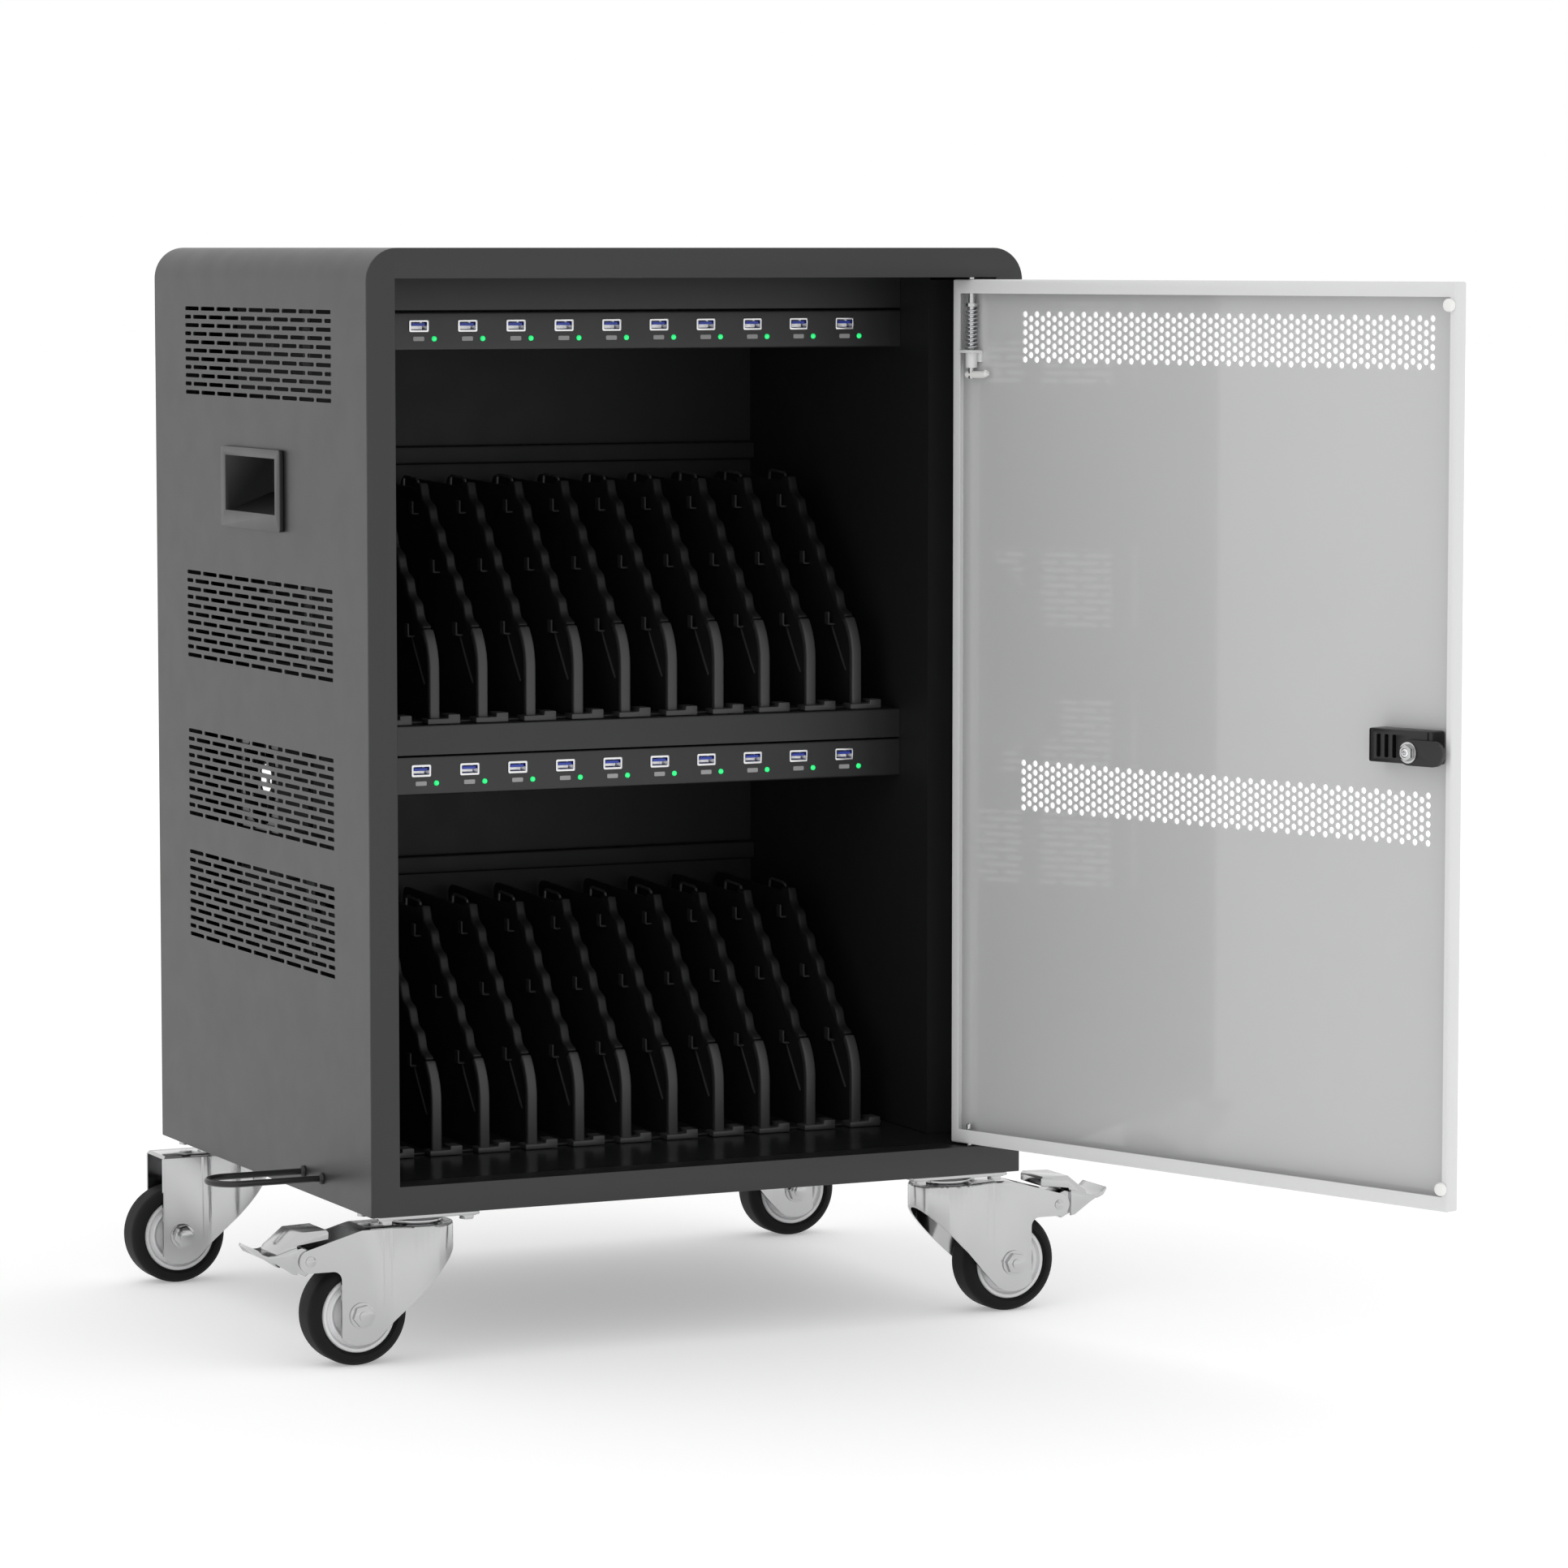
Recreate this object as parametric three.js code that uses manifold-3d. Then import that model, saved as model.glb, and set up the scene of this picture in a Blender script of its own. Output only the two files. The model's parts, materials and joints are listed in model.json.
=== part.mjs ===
// Laptop charging cart: a sheet-steel cabinet on four casters, with two shelves of upright
// bays, a charging strip with sockets over each shelf and one ventilated door on the right.
// Millimetres, +Z up, the front faces -Y. The origin is the middle of the cabinet's underside,
// the flat face that the casters are bolted to. The door stands open, as it is used.
import * as THREE from 'three';
import { mergeVertices } from 'three/addons/utils/BufferGeometryUtils.js';
import Module from 'manifold-3d';

const wasm = await Module();
wasm.setup();

// Cabinet
const WIDTH = 550;
const DEPTH = 476;
const HEIGHT = 730;
const SHEET = 1.2; // wall of the folded panels
const PLATE = 1.5; // wall of the front frame, back panel and base
const CLEAR = 0.3; // gap between pieces that meet
const TOP_RADIUS = 25; // bend between the top and the sides
const FRAME_FACE = 23; // width of the front frame's face
const JAMB_DEPTH = 25; // how far the frame's inner return runs back
const WALL_CAVITY = 43; // between a side and the inner wall behind it
const LINER_INSET = 78; // front edge of the inner side walls behind the front
const LINER_WINDOWS = 4; // openings in the left inner wall behind each vent field
const LINER_WINDOW = 66; // width of one of them
const RACK_INSET = 128; // the shelf's apron and the charging strips behind the front
const REAR_DEPTH = 63; // depth of the rear compartment

// Vent fields on the sides
const VENT_WIDTH = 329;
const VENT_HEIGHT = 70;
const VENT_CENTRES = [0.2863, 0.42125, 0.59725, 0.88765].map((share) => share * HEIGHT);
const VENT_ROWS = 4;
const VENT_COLUMNS = 4;
const VENT_BRIDGE = 7; // metal between two slots of a row
const VENT_SLOT_HEIGHT = 8;

// Carrying handles in the sides
const GRIP_WIDTH = 111;
const GRIP_HEIGHT = 43.5;
const GRIP_Y = 6.5; // middle of the pocket
const GRIP_BOTTOM = HEIGHT - 206.5; // lower lip of the pocket
const GRIP_DEPTH = 36;
const GRIP_RISE = 13.5; // how far the pocket's floor climbs inwards
const GRIP_WALL = 1.5;
const BEZEL_THICK = 3.5;
const BEZEL_SIDE = 11;
const BEZEL_TOP = 7;
const BEZEL_BOTTOM = 13;

// Shelf, floor and charging strips
const FLOOR_TOP = 22.5;
const SHELF_TOP = 361;
const APRON_HEIGHT = 23;
const STRIP_HEIGHT = 30;
const STRIP_DEPTH = 40;
const STRIP_GAP = 1.2; // shadow line over each strip
const UPPER_STRIP_TOP = HEIGHT - 49;
const PORT_COUNT = 10;
const PORT_PITCH = 40.5;
const FIRST_PORT_X = (-PORT_PITCH * (PORT_COUNT - 1)) / 2;
const PORT_DROP = 11; // socket's middle below the strip's top edge
const PORT_WIDTH = 15;
const PORT_HEIGHT = 8;
const PORT_WALL = 1.2;
const PORT_CAVITY = 9;
const TONGUE_WIDTH = 11;
const TONGUE_THICK = 1.8;
const LAMP_RIGHT = 13; // lamp's middle right of its socket
const LAMP_DROP = 21;
const LAMP_RADIUS = 2;
const BOARD_THICK = 1.6;
const BOARD_BACK = 18; // board's back face behind the strip's front

// Bay dividers
const DIVIDER_COUNT = 11;
const DIVIDER_PITCH = 40.5;
const FIRST_DIVIDER_X = -212.5;
const DIVIDER_THICK = 3;
const DIVIDER_RIM = 7.5; // wide bead along the front edge
const RIM_DEPTH = 6;
const DIVIDER_SETBACK = 6; // behind the apron
const DIVIDER_REAR_GAP = 7; // in front of the rear compartment
const DIVIDER_STEM = 70; // straight part of the front edge
const DIVIDER_HEIGHT = 187;
const DIVIDER_BEND = 34; // radius where the front edge leans back
const BEND_STEPS = 3; // facets of that bend
const DIVIDER_LEAN = THREE.MathUtils.degToRad(55); // slope of the upper edge, from upright
const SCALLOPS = 4; // cable rests along the sloping edge
const SCALLOP_DEPTH = 5;
const SCALLOP_STEPS = 3; // facets of one scallop
const RACK_BASE = 2;
const FOOT_LENGTH = 28;
const FOOT_DEPTH = 16;

// Door, measured closed from the hinge axis
const DOOR_OPEN = THREE.MathUtils.degToRad(110);
const DOOR_GAP = 1.5; // reveal between the door and the frame
const HINGE_GAP = 3; // reveal on the hinge side, where the door's corner swings
const DOOR_THICK = 12.5;
const PIVOT_IN = 15; // hinge axis from the door's edge
const PIVOT_BACK = 7; // hinge axis behind the front face
const DOOR_LIP = 11; // turned lip along the top and bottom
const FREE_LIP = 7;
const HINGE_LIP = 7.5;
const BAND_START = 38; // perforated bands, from the hinge axis
const BAND_WIDTH = 408;
const BAND_HEIGHT = 42;
const BAND_DROP = 43; // upper band's middle below the door's top
const BAND_COLUMNS = 10;
const BAND_ROWS = 2;
const BAND_HOLE = 9; // radius of a six-sided hole

// Spring bolt that the door hangs on, and the pin under it
const BOLT_RADIUS = 2.5;
const BOLT_RUN = 0.4; // running clearance round the bolt
const BOLT_REACH = 6; // how far the bolt enters the frame
const PULL_DROP = 79; // bolt's pull below the doorway's top
const BOLT_PULL = 17;
const COLLAR_DROP = 23;
const COLLAR_HEIGHT = 3;
const COLLAR_RADIUS = 5;
const EAR_DROP = 59;
const EAR_THICK = 2.5;
const EAR_HALF = 7;
const SPRING_COILS = 8;
const SPRING_RADIUS = 4.2;
const SPRING_WIRE = 0.6;
const COIL_STEPS = 8;
const WIRE_SIDES = 5;
const LOWER_PIN_TOP = 40;
const LOWER_PIN_FLANGE = 4.3;

// Lock on the inside of the door
const LOCK_INSET = 32.5; // key plug from the door's free edge
const LOCK_Z = HEIGHT / 2 - 3;
const LOCK_LENGTH = 70;
const LOCK_HEIGHT = 25;
const LOCK_MARGIN = 14.5; // housing's end from the door's free edge
const LOCK_FACE = 11; // housing's inner face behind the hinge axis
const LOCK_SLOTS = 3;
const PLUG_RADIUS = 7.5;
const RIM_RADIUS = 12;
const RIM_PROUD = 2;
const CAM_THICK = 4;
const CAM_WIDTH = 19;
const CAM_REACH = 22;
const NUT_RADIUS = 6.5;
const NUT_HEIGHT = 4;
const BUMPER_RADIUS = 5;
const BUMPER_HEIGHT = 3;
const BUMPER_INSET = 17; // bumper's middle from the door's top and bottom edges

// Casters
const CASTER_HEIGHT = 116;
const CASTER_INSET_X = 49; // swivel axis from the cabinet's side
const CASTER_INSET_Y = 35; // swivel axis from the cabinet's front or back
const TRAIL = 52; // wheel's axle behind the swivel axis
const WHEEL_RADIUS = 40;
const WHEEL_WIDTH = 32;
const TYRE_THICK = 10;
const TREAD_ROUND = 8;
const AXLE_RADIUS = 4;
const AXLE_RUN = 0.4;
const FORK_SHEET = 2.5;
const FORK_GAP = 2; // between the wheel and a fork leg
const MOUNT_PLATE_X = 84;
const MOUNT_PLATE_Y = 62;
const MOUNT_PLATE_THICK = 3;
const RACE_RADIUS = 22;
const RACE_HEIGHT = 6;
const NOSE_RADIUS = 29; // round front of the fork about the swivel axis
const NOSE_SKIRT = 17; // height of the fork's wall there
const FORK_STRAIGHT = -28; // where the legs begin to flare towards the nose
const FORK_HEEL = -68; // rear edge of the legs
const LEG_END = 23; // radius of a leg round the axle
const PEDAL_HINGE = -93; // brake pedal's hinge along the trail
const PEDAL_HINGE_DROP = -32;
const PEDAL_REACH = 43;
const PEDAL_WIDTH = 40;
const PEDAL_THICK = 3;
const PEDAL_EAR = 9; // radius of the fork's arm round the pedal's hinge

// Loop on the left side, power unit, inlet and fan
const LOOP_INSET = 125; // loop's middle behind the front
const LOOP_Z = 16;
const LOOP_OUT = 85;
const LOOP_WIDTH = 40;
const LOOP_WIRE = 2.5;
const LOOP_FOOT = 2;
const POWER_WIDTH = 300;
const POWER_HEIGHT = 150;
const POWER_AIR = 11.5; // behind the power unit
const POWER_BOTTOM = 60;
const POWER_FINS = 9;
const FIN_DEPTH = 5;
const INLET_INSET = 85; // inlet's middle from the cabinet's side
const INLET_Z = 52;
const INLET_WIDTH = 27;
const INLET_HEIGHT = 20;
const INLET_FLANGE_WIDTH = 48;
const INLET_FLANGE_HEIGHT = 28;
const INLET_FLANGE = 3;
const INLET_WALL = 2;
const INLET_DEPTH = 18;
const FAN_SIZE = 80;
const FAN_DEPTH = 25;
const FAN_Y = 2;
const FAN_RISE = 6.5; // fan's middle over that of the second vent field
const FAN_BORE = 37.5;
const FAN_HUB = 16;
const FAN_HUB_DEPTH = 17;
const FAN_BLADES = 7;
const FAN_TIP_GAP = 1.5;
const BLADE_PITCH = THREE.MathUtils.degToRad(38);
const STRUT_WIDTH = 5;
const STRUT_THICK = 3;

const ROUND = 14; // facets of a round piece
const FINE_ROUND = 20; // facets of a wheel
const ARC_STEPS = 5; // facets of a bent corner
const WELD = 1e-3;

// Places worked out from the driving sizes
const HALF_W = WIDTH / 2;
const HALF_D = DEPTH / 2;
const OPEN_X = HALF_W - FRAME_FACE;
const OPEN_TOP = HEIGHT - FRAME_FACE;
const LINER_X = HALF_W - WALL_CAVITY;
const LINER_FRONT = -HALF_D + LINER_INSET;
const RACK_FRONT = -HALF_D + RACK_INSET;
const PARTITION_Y = HALF_D - REAR_DEPTH;
const POWER_DEPTH = REAR_DEPTH - POWER_AIR;
const DIVIDER_FRONT = RACK_FRONT + DIVIDER_SETBACK;
const DIVIDER_BACK = PARTITION_Y - DIVIDER_REAR_GAP;
const LOOP_Y = -HALF_D + LOOP_INSET;
const INLET_X = HALF_W - INLET_INSET;
const FAN_Z = VENT_CENTRES[1] + FAN_RISE;
const CASTER_X = HALF_W - CASTER_INSET_X;
const CASTER_Y = HALF_D - CASTER_INSET_Y;
const BOLT_PULL_Z = OPEN_TOP - PULL_DROP;
const COLLAR_Z = OPEN_TOP - COLLAR_DROP;
const EAR_Z = OPEN_TOP - EAR_DROP;
const SHELL_FRONT = -HALF_D + PLATE + CLEAR;
const SHELL_BACK = HALF_D - PLATE - CLEAR;
const LINER_TOP = HEIGHT - SHEET - CLEAR;
const PIVOT_X = OPEN_X - HINGE_GAP - PIVOT_IN;
const PIVOT_Y = -HALF_D + PIVOT_BACK;
const DOOR_FREE = -(2 * OPEN_X - DOOR_GAP - HINGE_GAP - PIVOT_IN);
const DOOR_BOTTOM = FLOOR_TOP + DOOR_GAP + CLEAR;
const DOOR_TOP = OPEN_TOP - DOOR_GAP;
const DOOR_SKIN = -PIVOT_BACK; // outer face of the door
const DOOR_INNER = DOOR_SKIN + DOOR_THICK; // face of its lips
const BAND_MIDDLES = [LOCK_Z - 49.5, DOOR_TOP - BAND_DROP];
const LOCK_X = DOOR_FREE + LOCK_INSET;
const LOCK_END = DOOR_FREE + LOCK_MARGIN;
const SPAN_X = LINER_X - CLEAR; // half width of what lies between the inner walls

const paint = (color, roughness, metalness = 0) => new THREE.MeshStandardMaterial({ color, roughness, metalness });
const MATERIALS = {
  cabinet: paint(0x47484a, 0.5),
  inside: paint(0x303133, 0.55),
  door: paint(0xd6d7d8, 0.3),
  black: paint(0x161616, 0.5),
  zinc: paint(0xc9cccf, 0.25, 1),
  chrome: paint(0xe2e4e6, 0.12, 1),
  tyre: paint(0x1a1a1b, 0.75),
  hub: paint(0xb9bcbf, 0.45),
  bumper: paint(0xf1f1ee, 0.4),
  board: paint(0x9fb0c6, 0.4),
};

/** A closed geometry as a solid that can be joined and cut; a solid is passed through. */
function solid(geometry) {
  if (geometry instanceof wasm.Manifold) return geometry;
  const bare = geometry.clone();
  bare.deleteAttribute('normal');
  bare.deleteAttribute('uv');
  const welded = mergeVertices(bare, WELD);
  const vertProperties = new Float32Array(welded.attributes.position.array);
  const triVerts = new Uint32Array(welded.index.array);
  return new wasm.Manifold(new wasm.Mesh({ numProp: 3, vertProperties, triVerts }));
}

/** A finished solid as a geometry. */
function surface(manifold) {
  const { vertProperties, triVerts } = manifold.getMesh();
  const geometry = new THREE.BufferGeometry();
  geometry.setAttribute('position', new THREE.BufferAttribute(new Float32Array(vertProperties), 3));
  geometry.setIndex(new THREE.BufferAttribute(new Uint32Array(triVerts), 1));
  geometry.computeVertexNormals();
  return geometry;
}

/** The union of several pieces. */
function join(...pieces) {
  return pieces.map(solid).reduce((whole, piece) => whole.add(piece));
}

/** A piece with others cut out of it. */
function cut(body, ...tools) {
  return tools.reduce((left, tool) => left.subtract(solid(tool)), solid(body));
}

/** A box between two corners. */
function block(x0, x1, y0, y1, z0, z1) {
  return new THREE.BoxGeometry(x1 - x0, y1 - y0, z1 - z0).translate((x0 + x1) / 2, (y0 + y1) / 2, (z0 + z1) / 2);
}

/** An outline through a few corners. */
function polygon(corners) {
  return new THREE.Shape(corners.map(([u, v]) => new THREE.Vector2(u, v)));
}

/** A rectangle as an outline or as a hole in one. */
function rectangle(u0, u1, v0, v1) {
  return polygon([[u0, v0], [u1, v0], [u1, v1], [u0, v1]]);
}

/** A regular polygon round a point, with its first corner straight up. */
function regular(u, v, radius, sides) {
  const corner = (i) => (2 * Math.PI * i) / sides + Math.PI / 2;
  const corners = Array.from({ length: sides }, (_, i) => [
    u + radius * Math.cos(corner(i)),
    v + radius * Math.sin(corner(i)),
  ]);
  return polygon(corners);
}

/** An outline drawn across an axis and pulled along it: (y, z) for x, (x, z) for y, (x, y) for z. */
function prism(outline, axis, from, to) {
  const settings = { depth: to - from, bevelEnabled: false, curveSegments: ARC_STEPS };
  const geometry = new THREE.ExtrudeGeometry(outline, settings);
  if (axis === 'x') {
    const turn = new THREE.Matrix4().set(0, 0, 1, from, 1, 0, 0, 0, 0, 1, 0, 0, 0, 0, 0, 1);
    return geometry.applyMatrix4(turn);
  }
  return axis === 'y' ? geometry.rotateX(Math.PI / 2).translate(0, to, 0) : geometry.translate(0, 0, from);
}

/** A flat sheet across an axis, with holes punched through it. */
function sheet(outline, holes, axis, from, to) {
  const punches = holes.map((hole) => solid(prism(hole, axis, from - SHEET, to + SHEET)));
  return solid(prism(outline, axis, from, to)).subtract(wasm.Manifold.union(punches));
}

/** A round bar along an axis. */
function bar(axis, radius, from, to, x, y, z, sides = ROUND) {
  const length = to - from;
  const geometry = new THREE.CylinderGeometry(radius, radius, length, sides);
  const middle = (from + to) / 2;
  if (axis === 'x') return geometry.rotateZ(Math.PI / 2).translate(middle, y, z);
  if (axis === 'z') return geometry.rotateX(Math.PI / 2).translate(x, y, middle);
  return geometry.translate(x, middle, z);
}

/** A closed profile of (radius, height) points turned about +Z. */
function turned(profile, sides = ROUND) {
  const closed = [...profile, profile[0]].map(([r, h]) => new THREE.Vector2(r, h));
  return new THREE.LatheGeometry(closed, sides).rotateX(Math.PI / 2);
}

/** Adds one named piece to a group. */
function add(group, name, body, material) {
  const geometry = body instanceof THREE.BufferGeometry ? body : surface(body);
  const mesh = new THREE.Mesh(geometry, material);
  mesh.name = name;
  group.add(mesh);
  return mesh;
}

/** The cabinet seen from the front: square below, bent corners above. */
function cabinetOutline() {
  const outline = new THREE.Shape();
  const bend = HEIGHT - TOP_RADIUS;
  outline.moveTo(-HALF_W, 0).lineTo(HALF_W, 0).lineTo(HALF_W, bend);
  outline.absarc(HALF_W - TOP_RADIUS, bend, TOP_RADIUS, 0, Math.PI / 2);
  outline.absarc(-HALF_W + TOP_RADIUS, bend, TOP_RADIUS, Math.PI / 2, Math.PI);
  return outline.closePath();
}

/** One vent field: staggered rows of slots in (y, z). */
function ventSlots(middle) {
  const pitch = (VENT_WIDTH + VENT_BRIDGE) / VENT_COLUMNS;
  const reach = (pitch - VENT_BRIDGE) / 2;
  const rise = (VENT_HEIGHT - VENT_SLOT_HEIGHT) / (VENT_ROWS - 1);
  const slots = [];
  for (let row = 0; row < VENT_ROWS; row += 1) {
    const count = VENT_COLUMNS - (row % 2);
    const z = middle + (row - (VENT_ROWS - 1) / 2) * rise;
    for (let i = 0; i < count; i += 1) {
      const y = (i - (count - 1) / 2) * pitch;
      slots.push(rectangle(y - reach, y + reach, z - VENT_SLOT_HEIGHT / 2, z + VENT_SLOT_HEIGHT / 2));
    }
  }
  return slots;
}

/** A side wall with its vent fields and the cut-out for the handle; side is -1 left or 1 right. */
function sidePanel(side) {
  const outline = rectangle(SHELL_FRONT, SHELL_BACK, 0, HEIGHT - TOP_RADIUS - CLEAR);
  const reach = GRIP_WIDTH / 2 + GRIP_WALL + CLEAR;
  const low = GRIP_BOTTOM - GRIP_WALL - CLEAR;
  const high = GRIP_BOTTOM + GRIP_HEIGHT + GRIP_WALL + CLEAR;
  const grip = rectangle(GRIP_Y - reach, GRIP_Y + reach, low, high);
  const from = side < 0 ? -HALF_W : HALF_W - SHEET;
  return sheet(outline, [...VENT_CENTRES.flatMap(ventSlots), grip], 'x', from, from + SHEET);
}

/** The top with its two long bends. */
function topCover() {
  const bend = HEIGHT - TOP_RADIUS;
  const inner = TOP_RADIUS - SHEET;
  const outline = new THREE.Shape();
  outline.moveTo(HALF_W, bend);
  outline.absarc(HALF_W - TOP_RADIUS, bend, TOP_RADIUS, 0, Math.PI / 2);
  outline.absarc(-HALF_W + TOP_RADIUS, bend, TOP_RADIUS, Math.PI / 2, Math.PI);
  outline.lineTo(-HALF_W + SHEET, bend);
  outline.absarc(-HALF_W + TOP_RADIUS, bend, inner, Math.PI, Math.PI / 2, true);
  outline.absarc(HALF_W - TOP_RADIUS, bend, inner, Math.PI / 2, 0, true);
  return prism(outline, 'y', SHELL_FRONT, SHELL_BACK);
}

/** The front frame: a flat face and a return round the doorway, with holes for the hinge pins. */
function frontFrame() {
  const doorway = () => rectangle(-OPEN_X, OPEN_X, FLOOR_TOP, OPEN_TOP);
  const face = sheet(cabinetOutline(), [doorway()], 'y', -HALF_D, -HALF_D + PLATE);
  const rim = rectangle(-OPEN_X - PLATE, OPEN_X + PLATE, FLOOR_TOP - PLATE, OPEN_TOP + PLATE);
  const jamb = sheet(rim, [doorway()], 'y', -HALF_D + PLATE / 2, -HALF_D + JAMB_DEPTH);
  const bore = BOLT_RADIUS + BOLT_RUN;
  const above = bar('z', bore, OPEN_TOP - PLATE, OPEN_TOP + 2 * PLATE, PIVOT_X, PIVOT_Y, 0);
  const below = bar('z', bore, FLOOR_TOP - 2 * PLATE, FLOOR_TOP + PLATE, PIVOT_X, PIVOT_Y, 0);
  return cut(join(face, jamb), above, below);
}

/** The rear wall with a vent field for the power unit and the inlet's cut-out. */
function backPanel() {
  const reach = INLET_WIDTH / 2 + INLET_WALL + CLEAR;
  const rise = INLET_HEIGHT / 2 + INLET_WALL + CLEAR;
  const inlet = rectangle(INLET_X - reach, INLET_X + reach, INLET_Z - rise, INLET_Z + rise);
  return sheet(cabinetOutline(), [...ventSlots(VENT_CENTRES[0]), inlet], 'y', HALF_D - PLATE, HALF_D);
}

/** The bottom tray: a flat plate with its sides and back turned up under the floor. */
function basePan() {
  const x = HALF_W - SHEET - CLEAR;
  const rim = FLOOR_TOP - PLATE - CLEAR;
  return join(
    block(-x, x, SHELL_FRONT, SHELL_BACK, 0, PLATE),
    block(-x, -x + PLATE, SHELL_FRONT, SHELL_BACK, 0, rim),
    block(x - PLATE, x, SHELL_FRONT, SHELL_BACK, 0, rim),
    block(-x, x, SHELL_BACK - PLATE, SHELL_BACK, 0, rim),
  );
}

/** The floor of the lower compartment, level with the sill. */
function floorPlate() {
  const x = HALF_W - SHEET - CLEAR;
  return block(-x, x, -HALF_D + JAMB_DEPTH + CLEAR, SHELL_BACK, FLOOR_TOP - PLATE, FLOOR_TOP);
}

/** An inner side wall with a flange out to the side panel; the left one has windows behind the vent fields. */
function liner(side) {
  const pitch = VENT_WIDTH / LINER_WINDOWS;
  const rise = VENT_HEIGHT / 2;
  const window = (i, z) => {
    const y = (i - (LINER_WINDOWS - 1) / 2) * pitch;
    return rectangle(y - LINER_WINDOW / 2, y + LINER_WINDOW / 2, z - rise, z + rise);
  };
  const outline = rectangle(LINER_FRONT, SHELL_BACK, FLOOR_TOP + CLEAR, LINER_TOP);
  const fields = side > 0 ? [] : VENT_CENTRES;
  const windows = fields.flatMap((z) => Array.from({ length: LINER_WINDOWS }, (_, i) => window(i, z)));
  const wall = sheet(outline, windows, 'x', LINER_X, LINER_X + SHEET);
  const panel = HALF_W - SHEET - CLEAR;
  const bend = HEIGHT - TOP_RADIUS - CLEAR;
  const flange = block(LINER_X, panel, LINER_FRONT, LINER_FRONT + SHEET, FLOOR_TOP + CLEAR, bend);
  const whole = join(wall, flange);
  return side > 0 ? whole : whole.mirror([1, 0, 0]);
}

/** The middle shelf: a deck with an apron in front and a short lip behind. */
function shelf() {
  const back = PARTITION_Y - CLEAR;
  const lip = APRON_HEIGHT / 2;
  const profile = polygon([
    [RACK_FRONT, SHELF_TOP - APRON_HEIGHT],
    [RACK_FRONT + SHEET, SHELF_TOP - APRON_HEIGHT],
    [RACK_FRONT + SHEET, SHELF_TOP - SHEET],
    [back - SHEET, SHELF_TOP - SHEET],
    [back - SHEET, SHELF_TOP - lip],
    [back, SHELF_TOP - lip],
    [back, SHELF_TOP],
    [RACK_FRONT, SHELF_TOP],
  ]);
  return prism(profile, 'x', -SPAN_X, SPAN_X);
}

/** The plate between the upper strip and the top, with a flange under the top. */
function header() {
  const low = UPPER_STRIP_TOP + STRIP_GAP;
  const profile = polygon([
    [RACK_FRONT, low],
    [RACK_FRONT + SHEET, low],
    [RACK_FRONT + SHEET, LINER_TOP - SHEET],
    [RACK_FRONT + APRON_HEIGHT, LINER_TOP - SHEET],
    [RACK_FRONT + APRON_HEIGHT, LINER_TOP],
    [RACK_FRONT, LINER_TOP],
  ]);
  return prism(profile, 'x', -SPAN_X, SPAN_X);
}

/** Middles of the sockets along a strip. */
function portMiddles() {
  return Array.from({ length: PORT_COUNT }, (_, i) => FIRST_PORT_X + i * PORT_PITCH);
}

/** A charging strip's channel, with a cut-out for each socket and lamp. */
function strip(top) {
  const portZ = top - PORT_DROP;
  const lampZ = top - LAMP_DROP;
  const u = PORT_WIDTH / 2 + CLEAR;
  const v = PORT_HEIGHT / 2 + CLEAR;
  const holes = portMiddles().flatMap((x) => [
    rectangle(x - u, x + u, portZ - v, portZ + v),
    regular(x + LAMP_RIGHT, lampZ, LAMP_RADIUS + CLEAR, 6),
  ]);
  const bottom = top - STRIP_HEIGHT;
  const face = sheet(rectangle(-SPAN_X, SPAN_X, bottom, top), holes, 'y', RACK_FRONT, RACK_FRONT + SHEET);
  const over = block(-SPAN_X, SPAN_X, RACK_FRONT, RACK_FRONT + STRIP_DEPTH, top - SHEET, top);
  const under = block(-SPAN_X, SPAN_X, RACK_FRONT, RACK_FRONT + STRIP_DEPTH, bottom, bottom + SHEET);
  return join(face, over, under);
}

/** A strip's circuit board with its row of sockets and lamps. */
function board(top) {
  const front = RACK_FRONT - CLEAR;
  const boardBack = RACK_FRONT + BOARD_BACK;
  const boardFront = boardBack - BOARD_THICK;
  const low = top - STRIP_HEIGHT + SHEET + CLEAR;
  const high = top - SHEET - CLEAR;
  const z = top - PORT_DROP;
  const xs = portMiddles();
  const margin = PORT_PITCH / 2;
  let whole = solid(block(xs[0] - margin, xs.at(-1) + margin, boardFront, boardBack, low, high));
  for (const x of xs) {
    const u = PORT_WIDTH / 2;
    const v = PORT_HEIGHT / 2;
    const shell = block(x - u, x + u, front, boardFront + BOARD_THICK / 2, z - v, z + v);
    const inside = block(
      x - u + PORT_WALL, x + u - PORT_WALL, front - 1, front + PORT_CAVITY, z - v + PORT_WALL, z + v - PORT_WALL,
    );
    const half = TONGUE_WIDTH / 2;
    const tongue = block(x - half, x + half, front + 1, front + PORT_CAVITY + 1, z, z + TONGUE_THICK);
    const lamp = bar('y', LAMP_RADIUS, front, boardFront + BOARD_THICK / 2, x + LAMP_RIGHT, 0, top - LAMP_DROP, 6);
    whole = whole.add(cut(shell, inside).add(solid(tongue))).add(solid(lamp));
  }
  return whole;
}

/** A divider's front edge in (y, height): straight, then bent back, ending where it slopes. */
function dividerEdge(inset) {
  const middle = DIVIDER_FRONT + DIVIDER_BEND;
  const radius = DIVIDER_BEND - inset;
  const steps = BEND_STEPS;
  const edge = [[DIVIDER_FRONT + inset, 0]];
  for (let i = 0; i <= steps; i += 1) {
    const angle = Math.PI - (DIVIDER_LEAN * i) / steps;
    edge.push([middle + radius * Math.cos(angle), DIVIDER_STEM + radius * Math.sin(angle)]);
  }
  return edge;
}

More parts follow.
